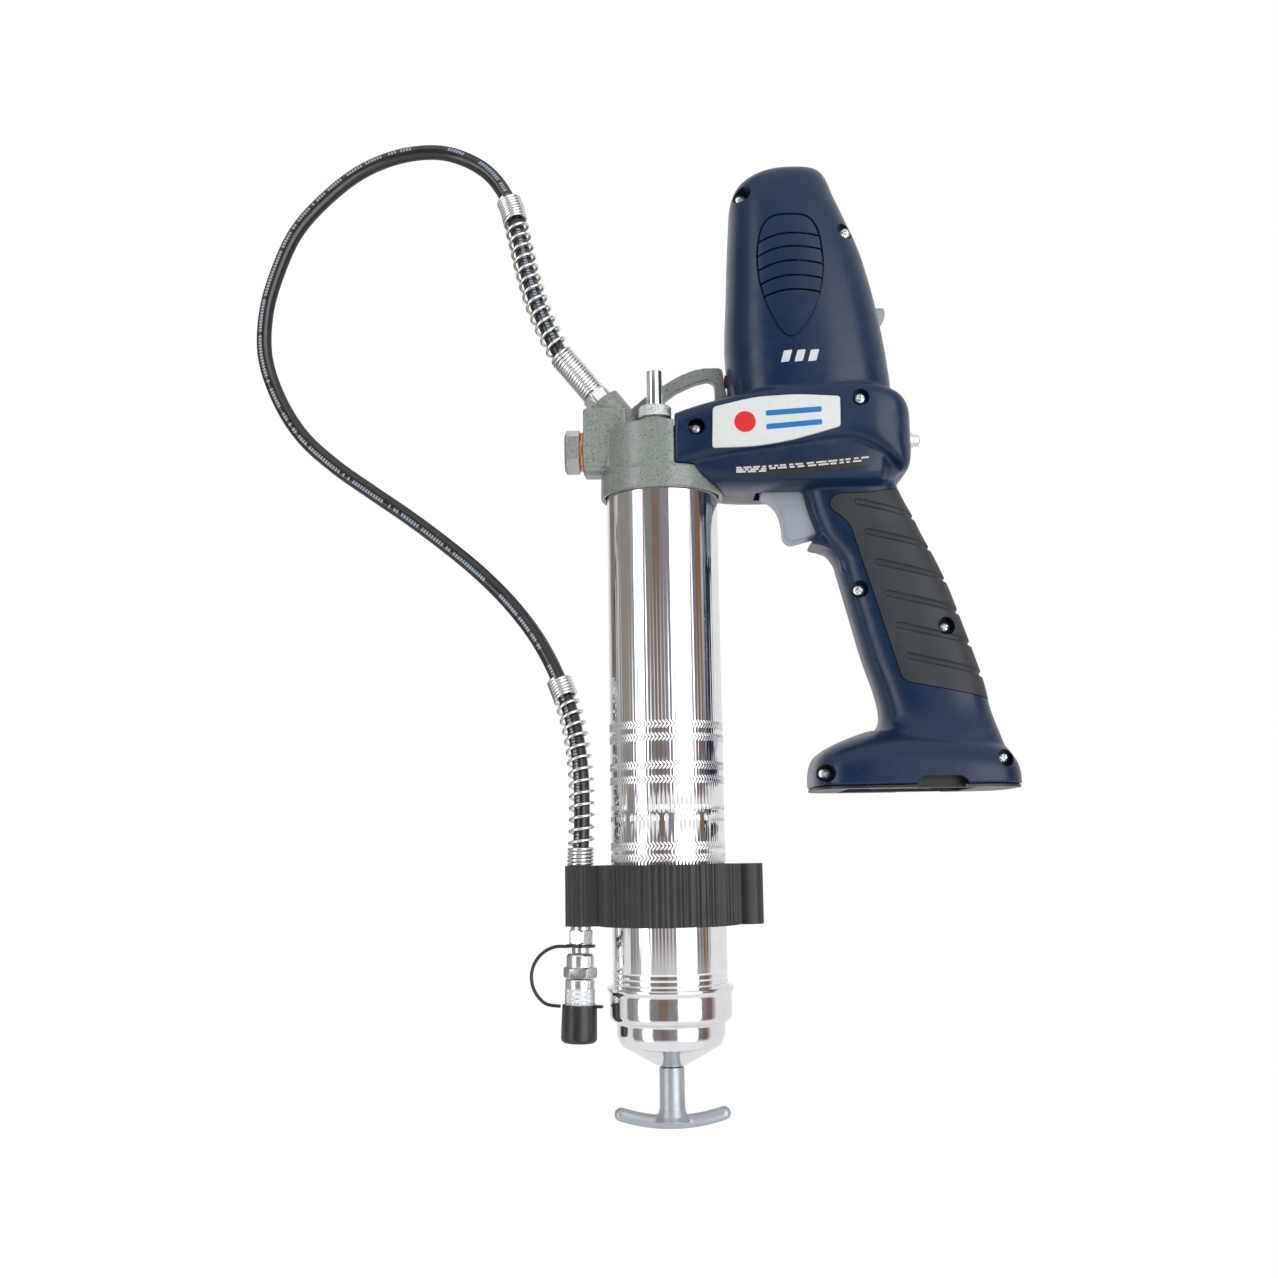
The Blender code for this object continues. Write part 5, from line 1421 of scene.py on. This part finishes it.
def mixed_by_camera(nodes, links, felt, seen):
    """One shader for the camera's own rays and another for the light that reaches the gun."""
    mixed = nodes.new("ShaderNodeMixShader")
    links.new(nodes.new("ShaderNodeLightPath").outputs["Is Camera Ray"], mixed.inputs["Fac"])
    links.new(felt, mixed.inputs[1])
    links.new(seen, mixed.inputs[2])
    return mixed.outputs["Shader"]


# The studio round the tube: degrees from straight up towards +x, colour and strength.
STUDIO = (
    (-180, (0.5, 0.5, 0.5), 0.9), (-92, (0.30, 0.27, 0.24), 0.95), (-74, (0.36, 0.37, 0.39), 0.95),
    (-63, (1.0, 1.0, 1.0), 3.3), (-43, (0.25, 0.24, 0.235), 0.95),
    (-24, (0.26, 0.185, 0.15), 0.85), (-6, (0.27, 0.25, 0.27), 1.0), (14, (1.0, 1.0, 1.0), 3.2),
    (57, (0.21, 0.21, 0.25), 0.95), (70, (0.24, 0.135, 0.09), 0.95), (84, (0.5, 0.5, 0.52), 0.9),
    (102, (1.0, 1.0, 1.0), 0.9),
)
SOFT_EDGE = 1.6


def build_world():
    """A studio of long softboxes and dark gaps that run along the tube, with a pale wall at each end."""
    world = bpy.data.worlds.new("studio")
    bpy.context.scene.world = world
    world.use_nodes = True
    nodes, links = world.node_tree.nodes, world.node_tree.links
    background = nodes["Background"]
    split = nodes.new("ShaderNodeSeparateXYZ")
    links.new(nodes.new("ShaderNodeTexCoord").outputs["Generated"], split.inputs["Vector"])
    angle = nodes.new("ShaderNodeMath")
    angle.operation = "ARCTAN2"
    links.new(split.outputs["X"], angle.inputs[0])
    links.new(split.outputs["Z"], angle.inputs[1])
    share = nodes.new("ShaderNodeMapRange")
    share.inputs["From Min"].default_value = -math.pi
    share.inputs["From Max"].default_value = math.pi
    links.new(angle.outputs["Value"], share.inputs["Value"])
    ramp = nodes.new("ShaderNodeValToRGB")
    elements = ramp.color_ramp.elements
    stops = [(0.0, STUDIO[0])]
    for before, here in zip(STUDIO, STUDIO[1:]):
        stops.append(((here[0] - SOFT_EDGE + 180) / 360, before))
        stops.append(((here[0] + SOFT_EDGE + 180) / 360, here))
    brightest = max(strength for _, _, strength in STUDIO)
    for k, (position, (_, colour, strength)) in enumerate(stops):
        element = elements[k] if k < 2 else elements.new(position)
        element.position = position
        element.color = (*(c * strength / brightest for c in colour), 1.0)
    links.new(share.outputs["Result"], ramp.inputs["Fac"])
    away = nodes.new("ShaderNodeMath")
    away.operation = "ABSOLUTE"
    links.new(split.outputs["Y"], away.inputs[0])
    ends = nodes.new("ShaderNodeMix")
    ends.data_type = "RGBA"
    links.new(spread_over(nodes, links, away.outputs["Value"], 0.36, 0.62), ends.inputs["Factor"])
    sockets = [s for s in ends.inputs if s.type == "RGBA"]
    links.new(ramp.outputs["Color"], sockets[0])
    sockets[1].default_value = (0.28, 0.28, 0.285, 1.0)
    links.new(next(s for s in ends.outputs if s.type == "RGBA"), background.inputs["Color"])
    background.inputs["Strength"].default_value = brightest
    seen = nodes.new("ShaderNodeBackground")
    seen.inputs["Color"].default_value = (1, 1, 1, 1)
    links.new(
        mixed_by_camera(nodes, links, background.outputs["Background"], seen.outputs["Background"]),
        nodes["World Output"].inputs["Surface"],
    )
    bpy.context.scene.view_settings.view_transform = "Standard"


build_camera()
build_hose()
build_housing()
build_badges()
build_screws()
build_controls()
build_battery_base()
build_pump_head()
build_tube()
build_clip()
dress_kept_nodes()
build_stage()
build_world()
